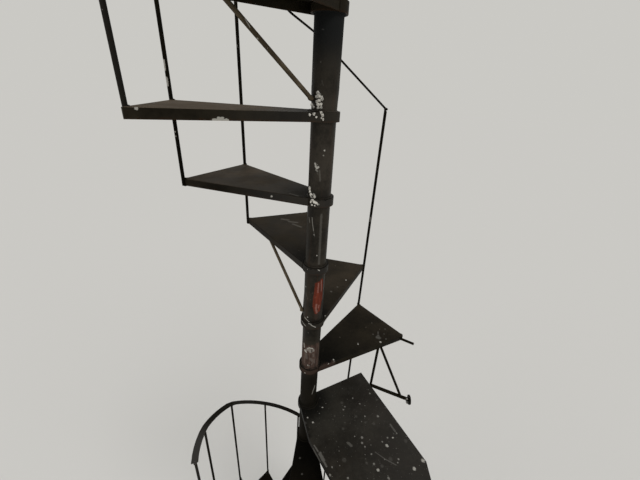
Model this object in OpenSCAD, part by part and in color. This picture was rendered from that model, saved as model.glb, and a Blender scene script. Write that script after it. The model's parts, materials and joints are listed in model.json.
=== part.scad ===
// Spiral staircase of folded sheet treads on a central pole, turning anticlockwise as it rises.
// The frame: Z up, the origin on the underside of the base plate, on the pole's axis.
// The landing lies on the +X side, where the stair is bolted to a wall.

/* [Pole] */
// Outside diameter of the lower pole pipe
pole_d = 73; // [60:0.1:90]
// Outside diameter of the upper pole pipe
upper_pole_d = 76.1; // [60:0.1:92]
// Wall thickness of the pole pipes
pole_wall = 4; // [2.5:0.1:8]
// Height of the pipe joint above the top of the tread below it
pole_joint_up = 62; // [12:1:100]
// Length of the spigot that lines up the two pipes
spigot_l = 160; // [60:5:300]
// Height of the cap on the pole
cap_h = 14; // [6:1:40]

/* [Base] */
// Diameter of the base plate
base_d = 260; // [200:5:400]
// Thickness of the base plate
base_t = 12; // [6:1:25]
// Diameter of the circle of anchor holes
anchor_pcd = 205; // [150:5:330]
// Diameter of an anchor hole
anchor_hole_d = 14; // [8:0.5:22]
// Number of anchor holes
anchor_n = 4; // [3:1:8]

/* [Stair] */
// Height of one step
rise = 248; // [180:1:300]
// Radius of the tread corners in the upper flight
upper_r = 484; // [400:1:650]
// Turn of one upper step in degrees
upper_turn = 36.3; // [28:0.1:40]
// Direction of the first upper tread's front corner in degrees
upper_start = 22.8; // [10:0.1:35]
// Number of treads in the upper flight
upper_n = 9; // [6:1:10]
// How much further out the tread corners of the lower flight are
lower_extra_r = 33; // [0:1:60]
// Turn of one lower step in degrees
lower_turn = 27.1; // [24:0.1:34]
// Direction of the last lower tread's back corner in degrees
lower_end = 287; // [280:0.1:290]
// Number of treads in the lower flight
lower_n = 9; // [5:1:9]

/* [Treads] */
// Thickness of the folded sheet
sheet_t = 4; // [2:0.5:8]
// Height of the folded edges
fold_h = 25; // [16:1:50]
// Extra turn of the widest tread's back edge in degrees, for the tread just below the pipe joint
wide_turn = 2.6; // [0:0.1:4]
// Extra reach of the widest tread's back corner
wide_far = 6; // [0:1:15]
// Thickness of the ring that carries a tread
collar_t = 9; // [4:0.5:14]
// Height of the ring above the tread's top face
collar_up = 1; // [0:0.5:12]
// Gap between ring and pole
collar_gap = 0.3; // [0.1:0.1:1]

/* [Landing] */
// How far the landing's wall edge lies inside the radius of the upper flight
landing_wall_in = 2; // [0:0.5:10]
// Reach of the landing's front edge
landing_front_y = 445; // [400:1:560]
// Left end of the landing's front edge
landing_front_x = 186; // [120:1:260]
// Place of the landing's back corner along X
landing_back_x = 265; // [220:1:320]
// Place of the landing's back corner along Y
landing_back_y = 168; // [120:1:220]
// Distance from the axis to the line of the landing's back edge
landing_back_off = 20; // [0:1:30]
// Place of the bend in the landing's left edge along X
landing_kink_x = 14; // [0:1:30]
// Distance in front of the axis of the bend in the landing's left edge
landing_kink_y = 176; // [120:1:220]
// Distance in front of the axis where the slanted edge meets the wall edge
landing_bend_y = 240; // [150:1:300]

/* [Rails] */
// Diameter of the balusters
baluster_d = 12; // [8:0.5:16]
// Diameter of the upper handrail
upper_rail_d = 8; // [6:0.5:20]
// Height of the upper handrail above a tread's front edge
upper_rail_h = 737; // [650:1:1000]
// Width of the lower handrail's flat bar
lower_rail_w = 30; // [20:1:50]
// Thickness of the lower handrail's flat bar
lower_rail_t = 7; // [5:0.5:12]
// Height of the lower handrail above a tread's front edge, low on the flight
lower_rail_h = 846; // [700:1:1050]
// Place of the lower handrail's end, as a share of its last step
lower_rail_stop = 0.79; // [0.4:0.01:0.95]
// Length of a bend in the upper handrail, each way from its baluster
rail_bend = 20; // [8:1:50]
// Place of the kink in the upper handrail, as a share of the step after the first full baluster
kink_share = 0.38; // [0.2:0.01:0.8]
// Depth of the kink below the straight line
kink_drop = 36; // [5:1:60]
// Gap round a baluster in its notch
seat_gap = 0.3; // [0.1:0.1:1]

/* [Braces] */
// Diameter of the brace rods
brace_d = 12; // [6:0.5:16]
// Height of a brace's foot above the ring below it
brace_up = 30; // [12:1:60]
// Distance from the ring along the front fold to the upper brace's head
brace_reach = 266; // [180:1:330]
// Distance from the ring along the back fold to the lower brace's head
back_brace_reach = 306; // [180:1:360]
// Turn from its tread's back corner to the lower brace's foot in degrees
back_brace_turn = 46; // [20:1:60]
// Diameter of the wall bracket's rods
bracket_rod_d = 12; // [6:0.5:16]
// Diameter of the wall bracket's lower bar
bracket_bar_d = 16; // [10:0.5:24]
// Diameter of the washer plates on the wall
wall_plate_d = 44; // [30:1:80]
// Thickness of the washer plates on the wall
wall_plate_t = 6; // [4:0.5:12]
// Diameter of the anchor holes in the washer plates
wall_hole_d = 11; // [6:0.5:14]
// Distance from the wall bracket's bar to its anchor hole
wall_hole_down = 15; // [14:0.5:22]
// Gap between the landing's edge and the wall
wall_gap = 4; // [1:0.5:20]
// Place of the wall bracket on the wall along Y
bracket_wall_y = 36; // [0:1:80]
// Distance of the wall bracket's foot along the landing's slanted edge
bracket_along = 74; // [40:1:140]
// Distance of the wall bracket's head along the first tread's front fold
bracket_reach = 334; // [250:1:400]
// Sideways run of the short bar from the first tread to the wall
stay_drop = 30; // [0:1:60]

/* [Hidden] */
$fn = 96;
lower_names = ["tread_1", "tread_2", "tread_3", "tread_4", "tread_5", "tread_6", "tread_7", "tread_8",
    "tread_9"];
upper_names = ["tread_10", "tread_11", "tread_12", "tread_13", "tread_14", "tread_15", "tread_16",
    "tread_17", "tread_18", "tread_19"];

lower_r = upper_r + lower_extra_r;
landing_wall_x = upper_r - landing_wall_in;
landing_z = (lower_n + 1) * rise;
collar_r = pole_d / 2 + collar_gap + collar_t;
root_r = pole_d / 2 + collar_gap + collar_t / 2;
baluster_r = baluster_d / 2;
notch_r = baluster_r + seat_gap;
joint_tread = 4;
joint_z = landing_z + (joint_tread + 1) * rise + pole_joint_up;
upper_top_z = landing_z + upper_n * rise;
pole_top_z = upper_top_z + rise + upper_rail_h;
eps = 1;

// Places of the treads
function lower_z(i) = (i + 1) * rise;
function upper_z(i) = landing_z + (i + 1) * rise;
function lower_az(i) = lower_end - (lower_n - i) * lower_turn;
function upper_az(i) = upper_start + i * upper_turn;
function polar(r, a) = [r * cos(a), r * sin(a)];

// Pieces of the pole

module ring(outer_r, inner_r, h) {
    difference() {
        cylinder(r = outer_r, h = h);
        translate([0, 0, -eps]) cylinder(r = inner_r, h = h + 2 * eps);
    }
}

module base_plate() {
    color("#2b2622") difference() {
        cylinder(d = base_d, h = base_t);
        for (i = [0 : anchor_n - 1])
            rotate([0, 0, 45 + i * 360 / anchor_n])
                translate([anchor_pcd / 2, 0, -eps])
                    cylinder(d = anchor_hole_d, h = base_t + 2 * eps);
    }
}

module lower_pole() {
    color("#1f1b18") translate([0, 0, base_t])
        ring(pole_d / 2, pole_d / 2 - pole_wall, joint_z - base_t);
}

module upper_pole() {
    color("#1f1b18") {
        translate([0, 0, joint_z])
            ring(upper_pole_d / 2, pole_d / 2 - pole_wall - collar_gap - pole_wall, pole_top_z - joint_z);
        translate([0, 0, joint_z - spigot_l / 2])
            ring(pole_d / 2 - pole_wall - collar_gap, pole_d / 2 - 2 * pole_wall - collar_gap,
                 spigot_l / 2 + eps);
    }
}

module pole_cap() {
    color("#2b2622") translate([0, 0, pole_top_z])
        rotate_extrude()
            polygon([[0, 0], [upper_pole_d / 2, 0], [upper_pole_d / 2, cap_h / 2],
                     [upper_pole_d / 2 - cap_h / 2, cap_h], [0, cap_h]]);
}

// Folded plates: a flat sheet with its edges turned down, made from its outline

function unit(v) = v / norm(v);
function inward(a, b) = let (u = unit(b - a)) [-u[1], u[0]];

// The inner side of the fold at a corner b between a and c
function fold_corner(a, b, c) =
    let (m = inward(a, b), n = inward(b, c)) b + (m + n) * sheet_t / (1 + m * n);

// The two ends of the inner side, run on under the ring
function fold_start(a, b) = a + inward(a, b) * sheet_t - unit(b - a) * collar_t;
function fold_end(a, b) = b + inward(a, b) * sheet_t + unit(b - a) * collar_t;

module folded_plate(outline, inside) {
    difference() {
        translate([0, 0, -fold_h]) linear_extrude(height = fold_h) polygon(outline);
        translate([0, 0, -fold_h - eps]) linear_extrude(height = fold_h - sheet_t + eps)
            polygon(inside);
    }
}

// One folded tread, its front corner on the X axis and its top face at Z 0

module folded_tread(r, turn, bore_r, wide = 0, far = 0) {
    ring_r = bore_r + collar_t;
    root = bore_r + collar_t / 2;
    lean = acos(root / r);
    front_in = polar(root, -lean);
    front = [r, 0];
    back = polar(r + far, turn + wide);
    back_in = polar(root, turn + wide + lean);
    difference() {
        union() {
            folded_plate([front_in, front, back, back_in],
                         [fold_start(front_in, front), fold_corner(front_in, front, back),
                          fold_corner(front, back, back_in), fold_end(back, back_in)]);
            translate([0, 0, -fold_h]) cylinder(r = ring_r, h = fold_h + collar_up);
        }
        translate([0, 0, -fold_h - eps]) cylinder(r = bore_r, h = fold_h + collar_up + 2 * eps);
        for (a = [0, turn])
            rotate([0, 0, a]) translate([r, 0, -fold_h - eps])
                cylinder(r = notch_r, h = fold_h + 2 * eps);
    }
}

module lower_tread(i) {
    color("#2e2822") translate([0, 0, lower_z(i)]) rotate([0, 0, lower_az(i)])
        folded_tread(lower_r, lower_turn, pole_d / 2 + collar_gap);
}

module upper_tread(i) {
    bore = upper_z(i) < joint_z ? pole_d : upper_pole_d;
    color("#3a332c") translate([0, 0, upper_z(i)]) rotate([0, 0, upper_az(i)])
        folded_tread(upper_r, upper_turn, bore / 2 + collar_gap,
                     i == joint_tread ? wide_turn : 0, i == joint_tread ? wide_far : 0);
}

// The landing, a folded plate cut to follow the wall

// The left edge starts under the ring, in this direction in degrees
landing_root_az = 205;
landing_points = [
    [landing_front_x, -landing_front_y],
    [landing_wall_x, -landing_front_y],
    [landing_wall_x, -landing_bend_y],
    [landing_back_x, landing_back_y],
    polar(landing_back_off, atan2(landing_back_y, landing_back_x) + 90),
    polar(root_r, landing_root_az),
    [landing_kink_x, -landing_kink_y]];

landing_inside = let (p = landing_points) [
    fold_corner(p[6], p[0], p[1]),
    fold_corner(p[0], p[1], p[2]),
    fold_corner(p[1], p[2], p[3]),
    fold_corner(p[2], p[3], p[4]),
    fold_end(p[3], p[4]),
    fold_start(p[5], p[6]),
    fold_corner(p[5], p[6], p[0])];

module landing() {
    color("#2a2623") translate([0, 0, landing_z]) difference() {
        union() {
            folded_plate(landing_points, landing_inside);
            translate([0, 0, -fold_h]) cylinder(r = collar_r, h = fold_h + collar_up);
        }
        translate([0, 0, -fold_h - eps])
            cylinder(r = pole_d / 2 + collar_gap, h = fold_h + collar_up + 2 * eps);
    }
}

// Handrails and balusters

function upper_rail_z(i) = upper_z(i) + upper_rail_h;
function upper_rail_point(i) =
    let (p = polar(upper_r, upper_az(i))) [p[0], p[1], upper_rail_z(i)];

// How far the lower rail sinks below its even slope at each tread, towards its end on the landing
lower_rail_drop = [0, 0, 0, 13, 17, 128, 300];
function lower_rail_z(i) = lower_z(i) + lower_rail_h - lower_rail_drop[i];
lower_rail_n = len(lower_rail_drop);

// Height of the lower rail at t steps from its start, and the last tread and place it reaches
function rail_level(t) =
    let (i = min(floor(t), lower_rail_n - 2)) mix(lower_rail_z(i), lower_rail_z(i + 1), t - i);
rail_last = lower_rail_n - 2;
rail_end = rail_last + lower_rail_stop;

module bar_between(a, b, d) {
    run = b - a;
    translate(a)
        rotate([0, acos(run[2] / norm(run)), atan2(run[1], run[0])])
            cylinder(d = d, h = norm(run));
}

// The upper handrail runs straight between its corners, with a short bend at each
bend_steps = 4;
function mix(a, b, f) = a + (b - a) * f;
rail_corners = concat(
    [upper_rail_point(1), upper_rail_point(2)],
    [mix(upper_rail_point(2), upper_rail_point(3), kink_share) - [0, 0, kink_drop]],
    [for (i = [3 : upper_n]) upper_rail_point(i)]);
function bend_end(k, to) = rail_corners[k] + unit(rail_corners[to] - rail_corners[k]) * rail_bend;
function bend_point(k, f) =
    let (p = rail_corners[k], a = bend_end(k, k - 1), b = bend_end(k, k + 1))
    mix(mix(a, p, f), mix(p, b, f), f);
upper_rail_path = concat(
    [rail_corners[0]],
    [for (k = [1 : len(rail_corners) - 2]) for (j = [0 : bend_steps]) bend_point(k, j / bend_steps)],
    [rail_corners[len(rail_corners) - 1]]);

// A rod of round section swept along a path of points
function run_at(path, k) = unit(path[min(k + 1, len(path) - 1)] - path[max(k - 1, 0)]);
function rod_ring(path, k, r, n) =
    let (t = run_at(path, k), side = unit(cross(t, [0, 0, 1])), up = cross(side, t))
    [for (j = [0 : n - 1]) path[k] + r * (cos(j * 360 / n) * side + sin(j * 360 / n) * up)];

module swept_rod(path, r, n) {
    rings = len(path);
    points = [for (k = [0 : rings - 1]) each rod_ring(path, k, r, n)];
    faces = concat(
        [[for (j = [0 : n - 1]) j]],
        [for (k = [0 : rings - 2]) for (j = [0 : n - 1])
            let (a = k * n + j, b = k * n + (j + 1) % n) each [[a, a + n, b], [b, a + n, b + n]]],
        [[for (j = [n - 1 : -1 : 0]) (rings - 1) * n + j]]);
    polyhedron(points = points, faces = faces);
}

module upper_handrail() {
    color("#241f1b") swept_rod(upper_rail_path, upper_rail_d / 2, rail_sides);
}

// An upright, and one whose head is cut to the slope of the upper handrail

module upright(r, a, low, high) {
    rotate([0, 0, a]) translate([r, 0, low]) cylinder(r = baluster_r, h = high - low);
}

// The corner of the handrail above upright i, and the handrail's slope and height there
function rail_corner(i) = i < 3 ? i - 1 : i;
function head_run(k) =
    rail_corners[min(k + 1, len(rail_corners) - 1)] - rail_corners[max(k - 1, 0)];
function head_slope(k) = let (run = head_run(k)) atan2(run[2], norm([run[0], run[1]]));
function head_height(k) =
    k == 0 || k == len(rail_corners) - 1 ? rail_corners[k][2] : bend_point(k, 0.5)[2];

module sloped_upright(i, low) {
    k = rail_corner(i);
    difference() {
        upright(upper_r, upper_az(i), low, head_height(k));
        rotate([0, 0, upper_az(i)]) translate([upper_r, 0, head_height(k)]) rotate([head_slope(k), 0, 0])
            translate([-baluster_d, -2 * baluster_d, -upper_rail_d / 2 - seat_gap])
                cube([2 * baluster_d, 4 * baluster_d, 2 * baluster_d]);
    }
}

module upper_balusters() {
    color("#241f1b") for (i = [2 : upper_n]) sloped_upright(i, upper_z(i - 1) - fold_h);
}

module tie_rod() {
    color("#241f1b") sloped_upright(1, lower_z(0) + seat_gap);
}

// The lower rail's last upright stands outside its tread's outer fold, the others at the corners
end_upright_r = lower_r * cos(lower_turn / 2) / cos((lower_rail_stop - 0.5) * lower_turn)
    + baluster_r + seat_gap;

module lower_balusters() {
    head = lower_rail_t + seat_gap;
    color("#241f1b") {
        for (i = [0 : rail_last])
            upright(lower_r, lower_az(i), i == 0 ? 0 : lower_z(i - 1) - fold_h,
                    lower_rail_z(i) - head);
        upright(end_upright_r, lower_az(rail_end), lower_z(rail_last) - fold_h,
                rail_level(rail_end) - head);
    }
}

// The flat bar of the lower handrail, swept round the pole
rail_sides = 12;
rail_count = 34;
rail_rings = [for (k = [0 : rail_count])
    let (t = k * rail_end / rail_count, a = lower_az(t), z = rail_level(t))
    [for (q = [[-1, -1], [1, -1], [1, 0], [-1, 0]])
        let (p = polar(lower_r + q[0] * lower_rail_w / 2, a)) [p[0], p[1], z + q[1] * lower_rail_t]]];
rail_points = [for (r = rail_rings) for (p = r) p];
rail_faces = concat(
    [[3, 2, 1, 0]],
    [for (k = [0 : rail_count - 1]) for (j = [0 : 3])
        let (a = 4 * k + j, b = 4 * k + (j + 1) % 4) each [[a, b, b + 4], [a, b + 4, a + 4]]],
    [[for (j = [0 : 3]) 4 * rail_count + j]]);

module lower_handrail() {
    color("#241f1b") polyhedron(points = rail_points, faces = rail_faces);
}

// Braces and wall fixings

// A point along the front or the back fold of an upper tread, a given way out from the ring and in
// from the fold's outer face
root_lean = acos(root_r / upper_r);
function front_fold_point(i, out, off) =
    let (start = polar(root_r, upper_az(i) - root_lean), run = unit(polar(upper_r, upper_az(i)) - start))
    start + run * out + [-run[1], run[0]] * off;
function back_fold_point(i, out, off) =
    let (az = upper_az(i + 1), start = polar(root_r, az + root_lean), run = unit(polar(upper_r, az) - start))
    start + run * out + [run[1], -run[0]] * off;

// A brace runs from the pole's side to the underside of a tread, both ends clear by the seat gap
module brace_rod(az_foot, z_foot, head, under) {
    r = brace_d / 2;
    out = [cos(az_foot), sin(az_foot), 0];
    rough = unit([head[0], head[1], under] - out * pole_d / 2 - [0, 0, z_foot]);
    foot_r = pole_d / 2 + seat_gap + r * sqrt(1 - pow(rough * out, 2));
    head_z = under - seat_gap - r * sqrt(1 - pow(rough[2], 2));
    bar_between(out * foot_r + [0, 0, z_foot], [head[0], head[1], head_z], brace_d);
}

// The upper brace holds the tread above the pipe joint, and the lower one the third upper tread
brace_turn = 1;
front_braced = joint_tread + 1;
back_braced = 2;

module brace_rods() {
    beside_fold = sheet_t + seat_gap + brace_d / 2;
    color("#33291f") {
        brace_rod(upper_az(front_braced) + brace_turn,
                  upper_z(front_braced - 1) + collar_up + brace_up,
                  front_fold_point(front_braced, brace_reach, beside_fold),
                  upper_z(front_braced) - sheet_t);
        brace_rod(upper_az(back_braced + 1) + back_brace_turn,
                  upper_z(back_braced - 1) + collar_up + brace_up,
                  back_fold_point(back_braced, back_brace_reach, beside_fold),
                  upper_z(back_braced) - sheet_t);
    }
}

wall_x = landing_wall_x + wall_gap;

// A point beside the landing's slanted edge, a given way along it from the back corner
function edge_side_point(along, off) =
    let (back = [landing_back_x, landing_back_y], bend = [landing_wall_x, -landing_bend_y],
         run = unit(bend - back))
    back + run * along + [-run[1], run[0]] * off;

bracket_z = landing_z - fold_h / 2;
bracket_top = upper_z(0) - fold_h - seat_gap;
bracket_foot = edge_side_point(bracket_along, bracket_bar_d / 2 + seat_gap);
bracket_end = [wall_x - wall_plate_t, bracket_wall_y];
// The diagonal meets the bar at this share of its length, and its head stands beside the upright's
bracket_tie_share = 0.8;
bracket_heads_apart = 1.4 * bracket_rod_d;
bracket_tie = mix(bracket_foot, bracket_end, bracket_tie_share);
upright_head = front_fold_point(0, bracket_reach, sheet_t / 2);
diagonal_head = front_fold_point(0, bracket_reach + bracket_heads_apart, sheet_t / 2);

module wall_bracket() {
    color("#241f1b") {
        bar_between([bracket_foot[0], bracket_foot[1], bracket_z],
                    [bracket_end[0] + eps, bracket_end[1], bracket_z], bracket_bar_d);
        bar_between([bracket_foot[0], bracket_foot[1], bracket_z],
                    [upright_head[0], upright_head[1], bracket_top], bracket_rod_d);
        bar_between([bracket_tie[0], bracket_tie[1], bracket_z],
                    [diagonal_head[0], diagonal_head[1], bracket_top], bracket_rod_d);
        difference() {
            translate([wall_x, bracket_wall_y, bracket_z]) rotate([0, -90, 0])
                cylinder(d = wall_plate_d, h = wall_plate_t);
            translate([wall_x + eps, bracket_wall_y, bracket_z - wall_hole_down]) rotate([0, -90, 0])
                cylinder(d = wall_hole_d, h = wall_plate_t + 2 * eps);
        }
    }
}

stay_z = upper_z(0) - brace_d;
stay_start = front_fold_point(0, upper_r * sin(root_lean) - 2 * notch_r - brace_d / 2,
                              -seat_gap - brace_d / 4);

module wall_stay() {
    color("#241f1b")
        bar_between([stay_start[0], stay_start[1], stay_z],
                    [wall_x, stay_start[1] - stay_drop, stay_z], brace_d);
}

base_plate();
lower_pole();
upper_pole();
pole_cap();
landing();
for (i = [0 : lower_n - 1]) lower_tread(i);
for (i = [0 : upper_n - 1]) upper_tread(i);
lower_balusters();
upper_balusters();
tie_rod();
lower_handrail();
upper_handrail();
brace_rods();
wall_bracket();
wall_stay();
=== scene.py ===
import json
import math

import bpy
from bpy.props import FloatProperty, FloatVectorProperty, PointerProperty
from bpy.types import Operator, Panel, PropertyGroup
from mathutils import Matrix, Vector

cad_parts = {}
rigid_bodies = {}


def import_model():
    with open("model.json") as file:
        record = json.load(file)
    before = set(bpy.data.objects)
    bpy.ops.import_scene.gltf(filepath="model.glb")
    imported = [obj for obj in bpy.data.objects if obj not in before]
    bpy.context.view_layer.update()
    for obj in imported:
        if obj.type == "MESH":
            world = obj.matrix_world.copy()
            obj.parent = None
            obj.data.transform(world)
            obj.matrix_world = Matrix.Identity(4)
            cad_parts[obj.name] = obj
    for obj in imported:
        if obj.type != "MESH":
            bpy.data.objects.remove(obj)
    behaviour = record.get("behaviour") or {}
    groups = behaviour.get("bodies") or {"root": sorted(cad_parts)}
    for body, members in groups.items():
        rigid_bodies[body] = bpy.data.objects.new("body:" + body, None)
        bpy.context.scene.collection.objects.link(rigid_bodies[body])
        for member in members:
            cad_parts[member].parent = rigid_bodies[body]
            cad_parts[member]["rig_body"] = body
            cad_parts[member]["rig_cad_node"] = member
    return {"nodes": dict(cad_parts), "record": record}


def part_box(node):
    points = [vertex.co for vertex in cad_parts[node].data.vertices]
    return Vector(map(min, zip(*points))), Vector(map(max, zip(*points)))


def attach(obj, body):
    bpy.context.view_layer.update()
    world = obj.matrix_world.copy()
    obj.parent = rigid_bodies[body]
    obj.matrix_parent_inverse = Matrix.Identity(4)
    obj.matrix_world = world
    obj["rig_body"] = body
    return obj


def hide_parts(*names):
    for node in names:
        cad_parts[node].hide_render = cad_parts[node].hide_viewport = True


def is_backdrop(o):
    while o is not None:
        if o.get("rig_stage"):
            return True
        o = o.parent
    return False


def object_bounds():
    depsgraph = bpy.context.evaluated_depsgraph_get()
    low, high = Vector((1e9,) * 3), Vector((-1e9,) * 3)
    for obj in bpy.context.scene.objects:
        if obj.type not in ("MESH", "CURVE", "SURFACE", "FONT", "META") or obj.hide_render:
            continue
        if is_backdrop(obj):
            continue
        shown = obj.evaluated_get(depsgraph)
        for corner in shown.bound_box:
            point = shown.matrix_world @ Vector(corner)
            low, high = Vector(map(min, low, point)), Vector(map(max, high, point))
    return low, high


bl_info = {
    "name": "Spiral Stair Finish",
    "version": (1, 0, 0),
    "blender": (4, 5, 0),
    "location": "View3D > Sidebar > Stair",
    "description": "Rounds, welds, bolts and paints a steel spiral stair",
    "category": "Object",
}

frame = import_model()
CAD_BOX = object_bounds()

# Pieces of the stair, from the ground up
TREADS = sorted((node for node in frame["nodes"] if node.startswith("tread_")),
                key=lambda node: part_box(node)[1].z)
RINGED = sorted([*TREADS, "landing"], key=lambda node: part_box(node)[1].z)
UPRIGHTS = ("lower_balusters", "upper_balusters", "tie_rod")
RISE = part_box(TREADS[1])[1].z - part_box(TREADS[0])[1].z
PIPE_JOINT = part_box("lower_pole")[1].z
LOWER_PIPE_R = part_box("lower_pole")[1].x
UPPER_PIPE_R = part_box("upper_pole")[1].x
# Heights of a tread's corners: lower rims of folds and ring, underside, top face, upper rim of the ring
LEVELS = sorted({round(vertex.co.z, 4) for vertex in frame["nodes"][TREADS[0]].data.vertices})
RING_STAND = LEVELS[-1] - LEVELS[-2]
FOLD = LEVELS[-2] - LEVELS[0]
# Outer radius of the rings on the lower pipe, at which marks on a ring are placed
RING_R = 0.0458
# Points closer than MERGE become one, and points or heights closer than NEAR count as the same
MERGE = 0.00002
NEAR = 0.0001
# An edge of a top face that is longer than this is rounded as a fold
LONG_EDGE = 0.08
# How near, in plan, a tread's corner is to the upright it holds, and the points of one upright are
CORNER_REACH = 0.012
ROD_REACH = 0.015
# Where the pole's paint changes: blue-black above, darkened below as painted shade, and lighter brown-grey
# between fading ends
SOOT_TOP = 3.86
SHADE_FOOT = 2.70
LIGHTER_BAND = (3.38, 3.56, 3.70, 3.80)
# Where the bars are made lighter grey as a painted highlight, towards the front and the top: y and z at
# which it begins and is full
SHEEN_Y = (0.10, -0.08)
SHEEN_Z = (1.95, 2.10)
# Pitch of a coarse thread as a share of its diameter
THREAD_PITCH = 0.146
# How far the middle of a bead lies out of the pipe at a ring, and out of the pipe and plate at the foot
BEAD_OUT = 0.0016
FOOT_BEAD_OUT = 0.001
# Lamps: name, heading and height in degrees, power
LAMPS = (("key lamp", 40.0, 50.0, 1.10), ("fill lamp", -65.0, 38.0, 0.45))
LAMP_SPREAD = 35.0
ROOM_LIGHT = 0.60
ORIGIN = (0.0, 0.0, 0.0)

# Settings that properties of one kind share
A_LENGTH = {"subtype": "DISTANCE", "unit": "LENGTH"}
AN_ANGLE = {"subtype": "ANGLE", "unit": "ROTATION"}
A_COLOUR = {"size": 3, "subtype": "COLOR", "min": 0.0, "max": 1.0}


class StairSizes(PropertyGroup):
    """Sizes of the finish"""
    edge_round: FloatProperty(
        name="Edge rounding", description="Rounding of cut sheet and pipe edges",
        default=0.0005, min=0.0001, max=0.002, **A_LENGTH)
    fold_round: FloatProperty(
        name="Fold rounding", description="Rounding on the outside of a folded edge",
        default=0.0035, min=0.001, max=0.008, **A_LENGTH)
    corner_clear: FloatProperty(
        name="Corner clearance", description="Length of a fold next to a corner that stays sharp",
        default=0.012, min=0.006, max=0.04, **A_LENGTH)
    weld_thick: FloatProperty(
        name="Weld thickness", description="Thickness of the weld beads",
        default=0.0046, min=0.002, max=0.01, **A_LENGTH)
    stud_d: FloatProperty(
        name="Stud diameter", description="Diameter of the anchor studs in the base plate",
        default=0.012, min=0.006, max=0.02, **A_LENGTH)
    stud_stand: FloatProperty(
        name="Stud height", description="Height of an anchor stud above the base plate",
        default=0.026, min=0.015, max=0.06, **A_LENGTH)
    wall_bolt_d: FloatProperty(
        name="Wall bolt diameter", description="Diameter of the bolt in the wall plate",
        default=0.010, min=0.006, max=0.016, **A_LENGTH)
    joint_cone: FloatProperty(
        name="Joint cone", description="Length of the ground weld that evens out the pipe joint",
        default=0.050, min=0.01, max=0.10, **A_LENGTH)
    floor_size: FloatProperty(
        name="Floor size", description="Width of the floor",
        default=120.0, min=20.0, max=400.0, **A_LENGTH)
    camera_place: FloatVectorProperty(
        name="Camera place", description="Place of the camera", size=3,
        default=(0.0, -0.9307, 3.7854), subtype="TRANSLATION", unit="LENGTH")
    camera_pitch: FloatProperty(
        name="Camera pitch", description="How far the camera looks down",
        default=math.radians(26.86), **AN_ANGLE)
    camera_roll: FloatProperty(
        name="Camera roll", description="Turn of the camera about its own line of sight",
        default=math.radians(3.5), **AN_ANGLE)
    camera_yaw: FloatProperty(
        name="Camera yaw", description="How far the camera looks to the right of the pole",
        default=math.radians(0.66), **AN_ANGLE)
    camera_lens: FloatProperty(
        name="Lens", description="Focal length in millimetres on a sensor 36 mm wide",
        default=17.2, min=10.0, max=80.0, unit="CAMERA")


class StairColours(PropertyGroup):
    """Colours of the finish"""
    pole_dark: FloatVectorProperty(
        name="Pole, dark", description="Darker tone of the pole's paint",
        default=(0.0095, 0.0083, 0.0062), **A_COLOUR)
    pole_light: FloatVectorProperty(
        name="Pole, light", description="Lighter tone of the pole's paint",
        default=(0.029, 0.0245, 0.0180), **A_COLOUR)
    pole_top: FloatVectorProperty(
        name="Pole, top", description="Blue-black paint at the top of the pole",
        default=(0.0095, 0.0106, 0.0108), **A_COLOUR)
    # Blackened paint, which also serves as painted shade next to the pole and as painted shadow lines
    soot_and_shade: FloatVectorProperty(
        name="Soot", description="Blackened paint next to the pole and in dark marks",
        default=(0.0040, 0.0038, 0.0032), **A_COLOUR)
    # Lighter brown-grey paint of a band in the pole's upper flight
    band_grey: FloatVectorProperty(
        name="Faded", description="Brown-grey paint where the pole is rubbed, in the upper flight",
        default=(0.056, 0.047, 0.037), **A_COLOUR)
    tread_dark: FloatVectorProperty(
        name="Tread, dark", description="Darker tone of the treads' paint",
        default=(0.0065, 0.0053, 0.0032), **A_COLOUR)
    tread_light: FloatVectorProperty(
        name="Tread, light", description="Lighter tone of the treads' paint",
        default=(0.020, 0.0160, 0.0100), **A_COLOUR)
    dust: FloatVectorProperty(
        name="Dust", description="Brown dust trodden into the top faces",
        default=(0.102, 0.078, 0.054), **A_COLOUR)
    landing_dark: FloatVectorProperty(
        name="Landing, dark", description="Darker tone of the landing's paint",
        default=(0.0085, 0.0078, 0.0062), **A_COLOUR)
    landing_light: FloatVectorProperty(
        name="Landing, light", description="Lighter tone of the landing's paint",
        default=(0.022, 0.0205, 0.0165), **A_COLOUR)
    # Greyed paint of rings, folds and the landing's far side, which is also the lighter grey of the bars'
    # painted highlight
    greyed: FloatVectorProperty(
        name="Greyed", description="Greyed paint on rings, folds, rubbed rails and the landing's far side",
        default=(0.046, 0.043, 0.039), **A_COLOUR)
    rail: FloatVectorProperty(
        name="Rails", description="Paint of the handrails and balusters",
        default=(0.0042, 0.0034, 0.0018), **A_COLOUR)
    rod: FloatVectorProperty(
        name="Braces", description="Worn brown paint of the slanting braces",
        default=(0.060, 0.047, 0.030), **A_COLOUR)
    bracket: FloatVectorProperty(
        name="Bracket", description="Paint of the wall bracket and the short stay",
        default=(0.0048, 0.0038, 0.0018), **A_COLOUR)
    rust: FloatVectorProperty(
        name="Rust", description="Rust on edges, in chips and in runs",
        default=(0.046, 0.019, 0.008), **A_COLOUR)
    plaster: FloatVectorProperty(
        name="Plaster", description="Spilt filler and wall paint",
        default=(0.46, 0.44, 0.39), **A_COLOUR)
    primer: FloatVectorProperty(
        name="Primer", description="Pinkish primer that shows through the pole's paint",
        default=(0.062, 0.040, 0.031), **A_COLOUR)
    red: FloatVectorProperty(
        name="Red smear", description="Red paint smeared on the pole",
        default=(0.125, 0.026, 0.014), **A_COLOUR)
    bolt: FloatVectorProperty(
        name="Bolts", description="Dull zinc of the bolts and nuts",
        default=(0.19, 0.185, 0.175), **A_COLOUR)
    floor: FloatVectorProperty(
        name="Floor", description="Plain pale floor",
        default=(0.62, 0.61, 0.58), **A_COLOUR)
    backdrop: FloatVectorProperty(
        name="Backdrop", description="Background above the floor, as bright as the lit floor",
        default=(0.592, 0.584, 0.554), **A_COLOUR)


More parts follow.
